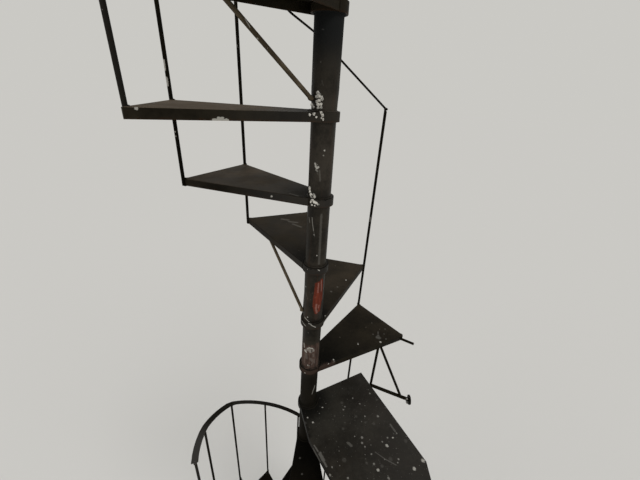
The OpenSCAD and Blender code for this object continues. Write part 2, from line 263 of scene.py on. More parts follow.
def sizes():
    return bpy.context.scene.stair_sizes


def colours():
    return bpy.context.scene.stair_colours


# Selecting and shaping

def only(*objects):
    """Selects these objects and nothing else, with the first one active."""
    bpy.ops.object.select_all(action="DESELECT")
    for obj in objects:
        obj.select_set(True)
    bpy.context.view_layer.objects.active = objects[0]


def edit_where(obj, kind, chosen):
    """Opens edit mode with the vertices, edges or faces selected that pass a test."""
    only(obj)
    bpy.ops.object.mode_set(mode="EDIT")
    bpy.ops.mesh.select_mode(type=kind)
    bpy.ops.mesh.select_all(action="DESELECT")
    bpy.ops.object.mode_set(mode="OBJECT")
    mesh = obj.data
    for item in {"VERT": mesh.vertices, "EDGE": mesh.edges, "FACE": mesh.polygons}[kind]:
        item.select = chosen(item)
    bpy.ops.object.mode_set(mode="EDIT")


def edit_all(obj):
    """Opens edit mode with everything selected."""
    only(obj)
    bpy.ops.object.mode_set(mode="EDIT")
    bpy.ops.mesh.select_all(action="SELECT")


def done():
    bpy.ops.object.mode_set(mode="OBJECT")


def modified(obj, kind, **settings):
    """Adds a modifier to a piece and applies it."""
    only(obj)
    modifier = obj.modifiers.new(kind.title(), kind)
    for name, value in settings.items():
        setattr(modifier, name, value)
    bpy.ops.object.modifier_apply(modifier=modifier.name)


def rounded(obj, width, segments=2, angle=35):
    """Rounds every edge of a piece that is sharper than an angle in degrees."""
    modified(obj, "BEVEL", width=width, segments=segments, limit_method="ANGLE",
             angle_limit=math.radians(angle))


def smoothed(obj, angle=50):
    """Smooth shading up to an angle, with the normals of flat faces kept flat."""
    only(obj)
    bpy.ops.object.shade_smooth_by_angle(angle=math.radians(angle))
    modified(obj, "WEIGHTED_NORMAL", keep_sharp=True)


def roughened(obj, grain, depth):
    """Moves a piece's surface in and out by a cloudy noise of a given grain."""
    noise = bpy.data.textures.new("hand-laid metal", "CLOUDS")
    noise.noise_scale = grain
    noise.noise_depth = 2
    modified(obj, "DISPLACE", texture=noise, texture_coords="LOCAL", strength=depth, mid_level=0.5)


def placed(obj):
    """Puts a piece's place and turn into its mesh."""
    only(obj)
    bpy.ops.object.transform_apply(location=True, rotation=True, scale=True)


def copied(obj, place, turn=ORIGIN, scale=(1.0, 1.0, 1.0)):
    """A copy with a mesh of its own, turned, scaled and moved to a place."""
    only(obj)
    bpy.ops.object.duplicate(linked=False)
    copy = bpy.context.object
    copy.location, copy.rotation_euler, copy.scale = place, turn, scale
    placed(copy)
    return copy


def joined(objects):
    """Joins two or more objects into the first one."""
    only(*objects)
    bpy.ops.object.join()
    return bpy.context.object


def removed(obj):
    only(obj)
    bpy.ops.object.delete()


def as_piece(obj, name, material):
    """Names and paints a piece that is in place, and lets it ride on the stair."""
    placed(obj)
    obj.name = obj.data.name = name
    obj.data.materials.clear()
    obj.data.materials.append(material)
    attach(obj, "root")


def merged_copy(node):
    """A copy of a construction node whose loose faces are merged and whose flat faces are whole."""
    only(frame["nodes"][node])
    bpy.ops.object.duplicate(linked=False)
    piece = bpy.context.object
    piece.parent = None
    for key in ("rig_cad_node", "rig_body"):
        del piece[key]
    edit_all(piece)
    bpy.ops.mesh.remove_doubles(threshold=MERGE)
    bpy.ops.mesh.dissolve_limited(angle_limit=math.radians(0.5))
    done()
    return piece


def shown(piece, node, material):
    """Paints a finished copy of a construction node and shows it in the node's place."""
    as_piece(piece, node + "_painted", material)
    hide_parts(node)


def dressed(node, material, width=None, segments=2, smooth=40):
    """Rounds, smooths and paints a construction node."""
    piece = merged_copy(node)
    rounded(piece, width or sizes().edge_round, segments)
    smoothed(piece, smooth)
    shown(piece, node, material)


def welded(weld, name, material):
    """Smooths and paints weld metal that is in place."""
    smoothed(weld, angle=60)
    as_piece(weld, name, material)


def top_of(node):
    """Height of the top face of a tread or the landing."""
    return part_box(node)[1].z - RING_STAND


def level(point, z):
    """True where a point lies at a height."""
    return abs(point.z - z) < NEAR


# Node trees

class Wiring:
    """Short ways to add and link the nodes of one tree."""

    def __init__(self, tree):
        self.tree = tree

    def feed(self, socket, value):
        if isinstance(value, bpy.types.NodeSocket):
            self.tree.links.new(value, socket)
        elif socket.type == "RGBA":
            socket.default_value = (*value[:3], 1.0)
        else:
            socket.default_value = value

    def add(self, kind, inputs=None, **settings):
        node = self.tree.nodes.new(kind)
        for name, value in settings.items():
            setattr(node, name, value)
        for name, value in (inputs or {}).items():
            self.feed(node.inputs[name], value)
        return node

    def math(self, operation, *values):
        return self.add("ShaderNodeMath", dict(enumerate(values)), operation=operation).outputs[0]

    def chain(self, operation, first, *others):
        """One operation on a value and each of the others in turn."""
        for value in others:
            first = self.math(operation, first, value)
        return first

    def times(self, *values):
        return self.chain("MULTIPLY", *values)

    def plus(self, *values):
        return self.chain("ADD", *values)

    def minus(self, *values):
        return self.chain("SUBTRACT", *values)

    def most(self, *values):
        return self.chain("MAXIMUM", *values)

    def vector(self, operation, *values, result="Vector"):
        node = self.add("ShaderNodeVectorMath", dict(enumerate(values)), operation=operation)
        return node.outputs[result]

    def ramp(self, value, low, high, to_low=0.0, to_high=1.0):
        """Turns a value from low to high into one from to_low to to_high, smoothly."""
        node = self.add("ShaderNodeMapRange", {"Value": value, "From Min": low, "From Max": high,
                        "To Min": to_low, "To Max": to_high}, interpolation_type="SMOOTHSTEP")
        return node.outputs["Result"]

    def mix(self, share, first, second):
        node = self.add("ShaderNodeMix", {0: share, 6: first, 7: second}, data_type="RGBA")
        return node.outputs[2]

    def noise(self, place, scale, detail=4.0, rough=0.55):
        node = self.add("ShaderNodeTexNoise", {"Vector": place, "Scale": scale, "Detail": detail,
                        "Roughness": rough})
        return node.outputs["Fac"]

    def parts(self, vector):
        return self.add("ShaderNodeSeparateXYZ", {"Vector": vector}).outputs

    def group(self, tree, **inputs):
        node = self.add("ShaderNodeGroup", node_tree=tree)
        for name, value in inputs.items():
            self.feed(node.inputs[name.replace("_", " ")], value)
        return node.outputs


FLOAT, VECTOR, COLOUR = "NodeSocketFloat", "NodeSocketVector", "NodeSocketColor"


def shader_group(name, inputs, outputs, wire):
    """Makes a shader node group once. wire(wiring, inputs) returns what each output gets."""
    if name in bpy.data.node_groups:
        return bpy.data.node_groups[name]
    tree = bpy.data.node_groups.new(name, "ShaderNodeTree")
    for in_out, sockets in (("INPUT", inputs), ("OUTPUT", outputs)):
        for title, kind in sockets.items():
            tree.interface.new_socket(title, in_out=in_out, socket_type=kind)
    wiring = Wiring(tree)
    start = wiring.add("NodeGroupInput")
    wiring.add("NodeGroupOutput", wire(wiring, start.outputs))
    return tree


def tone_group():
    """Hand-brushed paint: cloudy patches of two tones with a fine grain in them."""
    def wire(w, i):
        patches = w.noise(i["Place"], i["Size"], 5.0, 0.6)
        grain = w.noise(i["Place"], w.times(i["Size"], 11.0), 3.0, 0.6)
        share = w.ramp(w.plus(w.times(patches, 0.78), w.times(grain, 0.22)), 0.36, 0.66)
        return {"Color": w.mix(share, i["Dark"], i["Light"]), "Share": share, "Grain": grain}
    return shader_group("Brushed tone", {"Place": VECTOR, "Size": FLOAT, "Dark": COLOUR, "Light": COLOUR},
                        {"Color": COLOUR, "Share": FLOAT, "Grain": FLOAT}, wire)


def speck_group():
    """Round specks scattered over a flat pattern, in a share of its cells."""
    def wire(w, i):
        cells = w.add("ShaderNodeTexVoronoi", {"Vector": i["Place"], "Scale": i["Per metre"],
                      "Randomness": 0.9}, voronoi_dimensions="2D")
        lots = w.add("ShaderNodeSeparateColor", {"Color": cells.outputs["Color"]}).outputs
        radius = w.times(i["Radius"], w.ramp(lots["Green"], 0.0, 1.0, 0.35, 1.0))
        ragged = w.times(w.minus(i["Ragged"], 0.5), radius)
        mask = w.ramp(w.plus(cells.outputs["Distance"], ragged), radius, w.times(radius, 0.6))
        chosen = w.math("LESS_THAN", lots["Red"], i["Share"])
        return {"Mask": w.times(mask, chosen), "Tone": lots["Blue"]}
    return shader_group("Specks", {"Place": VECTOR, "Per metre": FLOAT, "Share": FLOAT, "Radius": FLOAT,
                                   "Ragged": FLOAT}, {"Mask": FLOAT, "Tone": FLOAT}, wire)


def stroke_group():
    """One mark: everything within a half width of a straight stroke, with a ragged rim."""
    def wire(w, i):
        away = w.vector("SUBTRACT", i["Place"], i["Start"])
        along = w.vector("SUBTRACT", i["End"], i["Start"])
        share = w.math("DIVIDE", w.vector("DOT_PRODUCT", away, along, result="Value"),
                       w.vector("DOT_PRODUCT", along, along, result="Value"))
        share = w.math("MINIMUM", w.most(share, 0.0), 1.0)
        nearest = w.add("ShaderNodeVectorMath", {0: along, "Scale": share}, operation="SCALE").outputs[0]
        off = w.vector("LENGTH", w.vector("SUBTRACT", away, nearest), result="Value")
        reach = w.plus(w.math("DIVIDE", off, i["Half width"]), i["Ragged"])
        return {"Mask": w.ramp(reach, 1.1, 0.6)}
    return shader_group("Stroke", {"Place": VECTOR, "Start": VECTOR, "End": VECTOR, "Half width": FLOAT,
                                   "Ragged": FLOAT}, {"Mask": FLOAT}, wire)


def pole_place_group():
    """Where a point lies along the pole: its distance from the axis and its height."""
    def wire(w, i):
        x, y, z = w.parts(i["Place"])
        return {"Radius": w.math("SQRT", w.plus(w.times(x, x), w.times(y, y))), "Height": z}
    return shader_group("Place on pole", {"Place": VECTOR}, {"Radius": FLOAT, "Height": FLOAT}, wire)


def depth_group():
    """Depth below the top face of a tread, from the height of one step."""
    def wire(w, i):
        # The count of each step starts this far above the top face, so that no tread holds the jump
        above = 0.02
        turned = w.math("FLOORED_MODULO", w.minus(above, w.parts(i["Place"])[2]), RISE)
        return {"Depth": w.minus(turned, above)}
    return shader_group("Depth below tread", {"Place": VECTOR}, {"Depth": FLOAT}, wire)


def facing_group():
    """How much a face looks upwards, which is where dust lies and drops land."""
    def wire(w, i):
        normal = w.add("ShaderNodeNewGeometry").outputs["Normal"]
        return {"Up": w.ramp(w.parts(normal)[2], 0.35, 0.85)}
    return shader_group("Facing up", {}, {"Up": FLOAT}, wire)


class Paint(Wiring):
    """A material of one Principled BSDF, with the coordinates that its finish is built on."""

    def __init__(self, name, specular):
        self.material = bpy.data.materials.new(name)
        self.material.use_nodes = True
        super().__init__(self.material.node_tree)
        self.shader = self.tree.nodes["Principled BSDF"]
        self.shader.inputs["Specular IOR Level"].default_value = specular
        self.place = self.add("ShaderNodeTexCoord").outputs["Object"]
        self.ragged = self.times(self.minus(self.noise(self.place, 330.0, 3.0), 0.5), 1.6)

    def streaky(self, scale, detail, rough):
        """Noise with a scale of its own along each axis."""
        drawn = self.add("ShaderNodeMapping", {"Vector": self.place, "Scale": scale}).outputs[0]
        return self.noise(drawn, 1.0, detail, rough)

    def by_pole(self):
        """Distance from the pole's axis, and height."""
        return self.group(pole_place_group(), Place=self.place)

    def tone(self, size, dark, light):
        return self.group(tone_group(), Place=self.place, Size=size, Dark=dark, Light=light)

    def specks(self, per_metre, share, radius):
        return self.group(speck_group(), Place=self.place, Per_metre=per_metre, Share=share, Radius=radius,
                          Ragged=self.noise(self.place, 220.0, 2.0))

    def mask(self, marks):
        """How much of a point lies in any of the strokes, each two ends and a half width in metres."""
        return self.most(*(self.group(stroke_group(), Place=self.place, Start=start, End=end,
                                      Half_width=half_width, Ragged=self.ragged)["Mask"]
                           for start, end, half_width in marks))

    def marked(self, colour, height, dull, layers):
        """Paints layers of marks. A layer is its strokes, their tint, its share, and how far they rise."""
        for marks, tint, share, rise in layers:
            if marks:
                mask = self.times(self.mask(marks), share)
                colour = self.mix(mask, colour, tint)
                height = self.plus(height, self.times(mask, rise))
                dull = self.most(dull, mask)
        return colour, height, dull

    def finished(self, colour, roughness, height, depth, metallic=0.0):
        """Links the shader and gives back the material."""
        self.feed(self.shader.inputs["Base Color"], colour)
        self.feed(self.shader.inputs["Roughness"], roughness)
        self.feed(self.shader.inputs["Metallic"], metallic)
        bump = self.add("ShaderNodeBump", {"Height": height, "Distance": depth, "Strength": 1.0})
        self.feed(self.shader.inputs["Normal"], bump.outputs["Normal"])
        return self.material

    def brushed(self, tone, colour, height, depth, dull, sheen=(0.44, 0.60)):
        """Finishes brushed paint: as rough as its tone, and rougher by a share of each dull mask."""
        roughness = self.ramp(tone["Share"], 0.0, 1.0, *sheen)
        for mask, share in dull:
            roughness = self.plus(roughness, self.times(mask, share))
        return self.finished(colour, roughness, height, depth)


def strokes(rows, count, place):
    """Straight strokes from stop to stop, or a dot where there is one stop.
    A row is a half width in mm, then its stops, each of a count of numbers."""
    found = []
    for half_width, *numbers in rows:
        stops = [place(*numbers[k:k + count]) for k in range(0, len(numbers), count)]
        found += [(a, b, half_width / 1000) for a, b in zip(stops, stops[1:] or stops)]
    return found


def on_ring(base, *rows, radius=RING_R):
    """Marks round the pole's axis. A stop is a direction in degrees and mm above a base height."""
    def place(angle, rise):
        turn = math.radians(angle)
        return radius * math.cos(turn), radius * math.sin(turn), base + rise / 1000
    return strokes(rows, 2, place)


def on_pole(*rows):
    """Marks on the pole. A stop is a direction in degrees and a height in mm."""
    return on_ring(0.0, *rows, radius=LOWER_PIPE_R)


def on_top(z, *rows):
    """Marks at one height, on a level top face. A stop is x and y in mm."""
    return strokes(rows, 2, lambda x, y: (x / 1000, y / 1000, z))


def on_rod(base, *rows):
    """Marks on bars. A stop is x, y and mm above a base height."""
    return strokes(rows, 3, lambda x, y, rise: (x / 1000, y / 1000, base + rise / 1000))


# Marks that the pole has kept
WHITE_ON_POLE = on_pole(
    (2.8, 282, 3619), (2.6, 275, 3273), (3, 213, 3132), (3.4, 239, 3000), (3.4, 241, 3580, 246, 3570),
    (3.6, 251, 3567, 258, 3571), (2, 214, 2990, 234, 2986, 250, 2980), (2.4, 219, 2858, 224, 2838),
    (4.6, 229, 2824, 240, 2819), (3, 248, 2841, 262, 2847, 281, 2844), (2.8, 255, 2748), (2.2, 266, 2746))
PALE_ON_POLE = on_pole(
    (2.4, 279, 3605), (2.4, 246, 3562, 255, 3558), (2.4, 253, 3577), (1.4, 217, 3404, 224, 3389),
    (1.5, 238, 3408, 243, 3386, 250, 3364), (2.8, 254, 3349), (5.5, 238, 2828, 250, 2834),
    (8.5, 261, 2835, 270, 2827), (4.4, 286, 2839, 289, 2829), (3, 318, 2612, 306, 2588),
    (2.4, 306, 2590, 298, 2566))
# Faint pale marks, where the long stroke at 286 to 289 degrees from 3420 to 3240 mm is a painted highlight
# streak
FAINT_AND_HIGHLIGHT_ON_POLE = on_pole(
    (2.2, 246, 3906, 251, 3906), (2.8, 246, 3837), (1.8, 255, 3798, 251, 3785), (1.8, 255, 3796, 261, 3785),
    (1.6, 251, 3560, 257, 3549), (1.4, 250, 3364, 258, 3344), (3.2, 248, 2925), (3, 264, 3560, 270, 3530),
    (4.5, 286, 3420, 289, 3240))
SCRATCHES_ON_POLE = on_pole(
    (0.9, 241, 3118, 281, 3097), (0.9, 230, 3084, 264, 3118), (0.8, 219, 3111, 234, 3081),
    (0.8, 249, 3085, 281, 3101), (1, 212, 3105, 228, 3092))
DARK_ON_POLE = on_pole(
    (1.2, 269, 3779, 285, 3779), (1.6, 253, 2829), (1.8, 276, 2834, 277, 2824), (3.6, 268, 2607),
    (1.4, 271, 2756, 268, 2744))
PRIMER_ON_POLE = on_pole(
    (20, 222, 2842, 214, 2750), (20, 250, 2842, 250, 2745), (19, 282, 2846, 285, 2745),
    (17, 310, 2852, 318, 2745))
PINK_ON_POLE = on_pole(
    (7.5, 240, 2806, 244, 2786), (6.2, 273, 2786, 284, 2775), (4, 288, 2812, 292, 2797),
    (3, 292, 2770, 281, 2752), (2.8, 296, 2782, 302, 2758), (2.4, 226, 2790, 228, 2752))
RED_ON_POLE = on_pole(
    (5.5, 281, 3158, 278, 3110), (7, 296, 3160, 294, 3110), (7.5, 314, 3168, 321, 3120, 322, 3078),
    (10.5, 298, 3112, 303, 3052), (7, 278, 3104, 276, 3058, 290, 3026), (6.5, 318, 3080, 307, 3032),
    (8, 290, 3100, 294, 3050))
RED_LIGHT_ON_POLE = on_pole(
    (2.6, 294, 3158, 293, 3118), (2.4, 312, 3166, 316, 3120), (4.2, 289, 3064, 287, 3046, 294, 3027),
    (3, 306, 3058, 303, 3046))
STAIN_ON_POLE = on_pole((9, 290, 3024, 294, 2998), (12, 300, 3110, 300, 3020))


def tinted(colour, share):
    """A colour made lighter or darker by one share."""
    return tuple(share * part for part in colour)


def pole_paint():
    """Dark gloss paint with runs, a patch of primer, a red smear and splashes of plaster."""
    look, p = colours(), Paint("pole paint", specular=0.08)
    z = p.by_pole()["Height"]
    tone = p.tone(14.0, look.pole_dark, look.pole_light)
    runs = p.ramp(p.streaky((55.0, 55.0, 3.2), 4.0, 0.6), 0.56, 0.74)
    colour = p.mix(p.times(runs, 0.4), tone["Color"], look.rust)
    # A lighter brown-grey band in the pole's upper flight, fading out at both ends
    band_grey = p.times(p.ramp(z, LIGHTER_BAND[0], LIGHTER_BAND[1]), p.ramp(z, LIGHTER_BAND[3], LIGHTER_BAND[2]))
    colour = p.mix(p.times(band_grey, p.ramp(tone["Share"], 0.0, 1.0, 0.18, 0.42)), colour, look.band_grey)
    high = p.ramp(z, SOOT_TOP - 0.07, SOOT_TOP + 0.05)
    colour = p.mix(p.times(high, 0.9), colour, look.pole_top)
    # Painted shade: low down, the pole's paint darkens towards the treads' dark tone
    low = p.ramp(z, SHADE_FOOT + 0.03, SHADE_FOOT - 0.05)
    colour = p.mix(p.times(low, 0.8), colour, look.tread_dark)
    brush = p.streaky((160.0, 160.0, 14.0), 3.0, 0.5)
    height = p.plus(p.times(brush, 0.35), p.times(tone["Grain"], 0.5))
    streaks = p.ramp(p.streaky((110.0, 110.0, 16.0), 5.0, 0.65), 0.36, 0.64)
    worn = p.mix(streaks, tinted(look.primer, 0.62), tinted(look.primer, 1.45))
    smeared = p.mix(streaks, tinted(look.red, 0.72), tinted(look.red, 1.25))
    pink = p.mix(0.22, look.primer, look.plaster)
    light_red = p.mix(0.16, tinted(look.red, 1.3), look.plaster)
    colour, height, chalky = p.marked(colour, height, 0.0, (
        (STAIN_ON_POLE, tinted(look.primer, 0.7), 0.55, 0.0), (PRIMER_ON_POLE, worn, 0.95, -0.1),
        (PINK_ON_POLE, pink, 0.45, 0.1), (RED_ON_POLE, smeared, 1.0, 0.1),
        (RED_LIGHT_ON_POLE, light_red, 0.9, 0.1), (SCRATCHES_ON_POLE, pink, 0.4, -0.2),
        # Faint marks, one of them a painted highlight streak
        (FAINT_AND_HIGHLIGHT_ON_POLE, look.plaster, 0.09, 0.2), (PALE_ON_POLE, look.plaster, 0.36, 0.4),
        (WHITE_ON_POLE, look.plaster, 0.85, 1.1), (DARK_ON_POLE, look.soot_and_shade, 0.9, -0.3)))
    return p.brushed(tone, colour, height, 0.0008, [(p.most(chalky, high, low), 0.35)], (0.38, 0.56))


def top_face(p, tone, look, dust_and_sheen, dirt_and_shade_reach):
    """Dust and dirt on top faces: brown further out, and black next to the pole, which is dirt and painted
    shade together.
    """
    radius = p.by_pole()["Radius"]
    up = p.group(facing_group())["Up"]
    drift = p.ramp(p.noise(p.place, 9.0, 6.0, 0.65), 0.34, 0.70, 0.35, 1.0)
    outward = p.ramp(radius, dirt_and_shade_reach * 0.4, dirt_and_shade_reach + 0.16, 0.25, 1.0)
    # A high dust share also stands in for a painted sheen on a top face
    dust = p.times(up, dust_and_sheen, drift, outward)
    colour = p.mix(dust, tone["Color"], look.dust)
    # Dirt and painted shade: top faces blacken towards the pole
    colour = p.mix(p.times(p.ramp(radius, dirt_and_shade_reach, 0.05), 0.75, up), colour, look.soot_and_shade)
    scratched = p.ramp(p.streaky((9.0, 210.0, 60.0), 3.0, 0.6), 0.68, 0.74)
    crossed = p.ramp(p.streaky((190.0, 12.0, 60.0), 3.0, 0.6), 0.69, 0.75)
    scratches = p.times(p.most(scratched, crossed), up, 0.22)
    return p.mix(scratches, colour, look.dust), dust, up, scratches


def fold_edge(p, colour, look):
    """Rust and dirt along the lower rim of the folded edges, with short runs above it."""
    depth = p.group(depth_group(), Place=p.place)["Depth"]
    drips = p.streaky((70.0, 70.0, 9.0), 4.0, 0.6)
    wavy = p.plus(depth, p.times(p.minus(drips, 0.5), 0.02))
    rim = p.ramp(wavy, FOLD - 0.006, FOLD + 0.002)
    return p.mix(p.times(rim, 0.35), colour, look.rust)


def tread_paint(name, white=(), pale=(), dark=(), brown=(), dust_and_sheen=0.28, dirt_and_shade_reach=0.17, greyness=0.0,
                shade=1.0):
    """Worn brown-black paint of a tread, with dust, scratches and its own marks."""
    # A share below one darkens the tones and the sheen as painted shade
    look, p = colours(), Paint(name, specular=0.04 * shade)
    tone = p.tone(8.0, tinted(look.tread_dark, shade), tinted(look.tread_light, shade))
    colour, dust, up, scratches = top_face(p, tone, look, dust_and_sheen, dirt_and_shade_reach)
    if greyness:
        aside = p.times(p.minus(1.0, up), p.ramp(p.by_pole()["Radius"], 0.36, 0.10))
        colour = p.mix(p.times(aside, greyness), colour, look.greyed)
    colour = fold_edge(p, colour, look)
    specks = p.specks(30.0, 0.05, 0.07)
    speck = p.times(specks["Mask"], up)
    colour = p.mix(speck, colour, p.mix(p.times(specks["Tone"], 0.35), look.dust, look.plaster))
    height = p.plus(p.times(tone["Grain"], 0.5), p.times(speck, 0.5))
    height = p.minus(height, p.times(scratches, 0.6))
    # Some of these marks are painted light: dark lines as shadow under the rings' top edges, white strokes
    # partly as glints on the rings, and a pale stroke as a reflection on a fold's end
    colour, height, chalky = p.marked(colour, height, speck, (
        (brown, tinted(look.primer, 0.8), 0.7, 0.1), (pale, look.plaster, 0.13, 0.2),
        (dark, look.soot_and_shade, 0.95, -0.2), (white, look.plaster, 0.8, 0.9)))
    return p.brushed(tone, colour, height, 0.0007, ((dust, 0.22), (chalky, 0.25)))


# Drops of plaster on the landing: half width, x and y in mm. One share trims all the half widths
DROP_TRIM = 0.88
WHITE_DROPS = (
    (4.6, 68, -34), (4, 3, -85), (5.2, 27, -105), (7.5, 335, -187), (6.5, 284, -278), (8, 427, -268),
    (9, 469, -237), (4.5, 366, -153))
PALE_DROPS = (
    (4.5, 163, -40), (5, 258, -66), (6.5, 316, -63), (5.5, 233, -181), (4.5, 243, -195), (4.5, 266, -222),
    (4, 386, -134), (4.5, 372, -236), (4, 366, -249), (6, 99, -303), (4.5, 171, -25), (4.5, 210, 20),
    (4.5, 241, -7), (5.5, 295, 49), (6.5, 235, -159), (3.5, 204, -156), (4.5, 343, -155), (4, 318, -172),
    (6, 320, -304), (4, 107, -276), (5, 166, -310), (5, 271, -258))
DIM_DROPS = (
    (8, 158, -6), (8, 323, 18), (6, 359, -21), (6, 122, -72), (4.5, 115, -88), (9, -7, -110), (8, 218, -69),
    (8, 293, -98), (6.5, 257, -94), (4.5, 167, -99), (7, 157, -127), (11, 155, -249), (9, 418, -165),
    (7, 243, -256), (10, 340, -237), (8, 302, -264))


def landing_paint(z):
    """Dark grey paint of the landing, splashed with plaster and worn along its open edge."""
    look, p = colours(), Paint("landing paint", specular=0.055)
    strip = [*on_top(z, (3.2, 36, -200, 52, -222), (7.5, 60, -230, 74, -254), (4.5, 78, -262, 85, -274)),
             *on_top(z - 0.014, (6, 34, -207, 60, -248))]
    # Painted shade on the landing's fold next to the pole
    shaded_fold = on_top(z - 0.013, (17.5, -30, -43, 10, -164))
    smears = on_top(z, (6, 175, -184, 187, -194), (4.5, 366, -98, 381, -127), (1.8, 282, -214, 318, -238),
                    (2.4, 318, -238, 358, -258))
    dim, pale, white = (on_top(z, *((DROP_TRIM * half_width, x, y) for half_width, x, y in drops))
                        for drops in (DIM_DROPS, PALE_DROPS, WHITE_DROPS))
    tone = p.tone(7.0, look.landing_dark, look.landing_light)
    colour, dust, up, scratches = top_face(p, tone, look, 0.10, 0.13)
    far_side = p.times(p.ramp(p.parts(p.place)[0], 0.10, 0.44), 0.30, up)
    colour = fold_edge(p, p.mix(far_side, colour, look.greyed), look)
    height = p.times(tone["Grain"], 0.5)
    chalky = p.times(scratches, 0.5)
    for per_metre, share, radius, lightest in ((38.0, 0.24, 0.11, 0.30), (95.0, 0.33, 0.12, 0.26)):
        specks = p.specks(per_metre, share, radius)
        speck = p.times(specks["Mask"], up)
        tint = p.mix(p.times(specks["Tone"], lightest), look.landing_light, look.plaster)
        colour = p.mix(speck, colour, tint)
        height = p.plus(height, p.times(speck, 0.4))
        chalky = p.most(chalky, speck)
    # Painted shade: the fold next to the pole is blackened
    colour = p.mix(p.times(p.mask(shaded_fold), 0.85), colour, look.soot_and_shade)
    colour, height, chalky = p.marked(colour, height, chalky, (
        (strip, look.plaster, 0.16, -0.2), (smears, look.plaster, 0.11, 0.2), (dim, look.plaster, 0.05, 0.2),
        (pale, look.plaster, 0.30, 0.6), (white, look.plaster, 0.66, 1.0)))
    return p.brushed(tone, colour, height, 0.0007, ((dust, 0.2), (chalky, 0.25)))


def bar_paint(name, colour, speckle=0.0, white=(), pale=(), lightened=0.0):
    """Paint on bars and rods: chipped to rust, lighter grey towards the front and top as a painted
    highlight, with splashes.
    """
    look, p = colours(), Paint(name, specular=0.025)
    tone = p.tone(22.0, colour, tinted(colour, 1.9))
    chips = p.ramp(p.noise(p.place, 95.0, 5.0, 0.7), 0.62, 0.68)
    colour = p.mix(p.times(chips, 0.6), tone["Color"], look.rust)
    if lightened:
        at = p.parts(p.place)
        # Painted highlight: the bars turn lighter grey towards the front and the top
        sheen_front = p.times(p.ramp(at[1], *SHEEN_Y), p.ramp(at[2], *SHEEN_Z))
        colour = p.mix(p.times(sheen_front, lightened), colour, look.greyed)
    splashes = p.ramp(p.noise(p.place, 130.0, 2.0, 0.5), 0.74 - speckle, 0.79 - speckle)
    colour = p.mix(p.times(splashes, 0.6), colour, look.plaster)
    height = p.minus(p.plus(tone["Grain"], splashes), chips)
    colour, height, chalky = p.marked(colour, height, splashes, (
        (pale, look.plaster, 0.22, -0.3), (white, look.plaster, 0.8, 0.6)))
    return p.brushed(tone, colour, height, 0.0005, [(chalky, 0.3)])


def filler_paint():
    """Off-white filler, dirty in its hollows."""
    look, p = colours(), Paint("filler", specular=0.3)
    dirt = p.ramp(p.noise(p.place, 75.0, 5.0, 0.65), 0.34, 0.58)
    colour = p.mix(dirt, tinted(look.plaster, 0.2), tinted(look.plaster, 1.35))
    grain = p.noise(p.place, 420.0, 4.0, 0.6)
    return p.finished(colour, p.ramp(grain, 0.2, 0.8, 0.75, 0.95), grain, 0.0012)


def zinc():
    """Dull zinc of bolts and nuts, with a first bloom of rust."""
    look, p = colours(), Paint("dull zinc", specular=0.5)
    bloom = p.ramp(p.noise(p.place, 120.0, 5.0, 0.65), 0.52, 0.66)
    spangle = p.noise(p.place, 600.0, 2.0)
    colour = p.mix(bloom, look.bolt, look.rust)
    metal = p.ramp(bloom, 0.0, 1.0, 0.85, 0.1)
    return p.finished(colour, p.ramp(bloom, 0.0, 1.0, 0.42, 0.85), spangle, 0.0002, metal)


# The stage

def camera_turn(s):
    """Turn of a camera that looks along +Y, down by its pitch, rolled about its line of sight."""
    turn = Matrix.Rotation(-s.camera_yaw, 3, "Z") @ Matrix.Rotation(math.pi / 2 - s.camera_pitch, 3, "X")
    return (turn @ Matrix.Rotation(s.camera_roll, 3, "Z")).to_euler()


class STAIR_OT_stage(Operator):
    """Sets the camera, the floor, the pale world and the soft lamps"""
    bl_idname = "stair.stage"
    bl_label = "Set the stage"

    def execute(self, context):
        s = sizes()
        scene = context.scene
        scene.view_settings.view_transform = "Standard"
        bpy.ops.object.camera_add(location=s.camera_place, rotation=camera_turn(s))
        camera = context.object
        camera.name = "camera"
        camera.data.lens = s.camera_lens
        camera.data.sensor_width = 36.0
        camera.data.clip_start, camera.data.clip_end = 0.02, 300.0
        scene.camera = camera
        self.floor(s)
        self.world(scene)
        self.lamps(context)
        return {"FINISHED"}

    def floor(self, s):
        bpy.ops.mesh.primitive_plane_add(size=s.floor_size, location=ORIGIN)
        floor = bpy.context.object
        floor.name = "floor"
        paint = bpy.data.materials.new("pale floor")
        paint.use_nodes = True
        shader = paint.node_tree.nodes["Principled BSDF"]
        shader.inputs["Base Color"].default_value = (*colours().floor, 1.0)
        shader.inputs["Roughness"].default_value = 1.0
        shader.inputs["Specular IOR Level"].default_value = 0.0
        floor.data.materials.append(paint)
        floor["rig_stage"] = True

    def world(self, scene):
        """A soft even light, and a pale background for the camera, glossy and clear surfaces."""
        world = bpy.data.worlds.new("pale room")
        scene.world = world
        world.use_nodes = True
        w = Wiring(world.node_tree)
        light = world.node_tree.nodes["Background"]
        light.inputs["Color"].default_value = (1.0, 1.0, 1.0, 1.0)
        light.inputs["Strength"].default_value = ROOM_LIGHT
        seen = w.add("ShaderNodeBackground", {"Color": colours().backdrop, "Strength": 1.0})
        path = w.add("ShaderNodeLightPath").outputs
        shown_to = w.most(path["Is Camera Ray"], path["Is Glossy Ray"], path["Is Transmission Ray"])
        both = w.add("ShaderNodeMixShader", {0: shown_to, 1: light.outputs[0], 2: seen.outputs[0]})
        w.feed(world.node_tree.nodes["World Output"].inputs["Surface"], both.outputs[0])

    def lamps(self, context):
        """Two wide soft lamps far off: a key from the front right and a weaker fill from the left."""
        for name, heading, height, power in LAMPS:
            turn = (math.radians(90.0 - height), 0.0, math.radians(heading))
            bpy.ops.object.light_add(type="SUN", location=(0.0, 0.0, 8.0), rotation=turn)
            lamp = context.object
            lamp.name = name
            lamp.data.angle = math.radians(LAMP_SPREAD)
            lamp.data.energy = power


# The pole, its foot and its welds

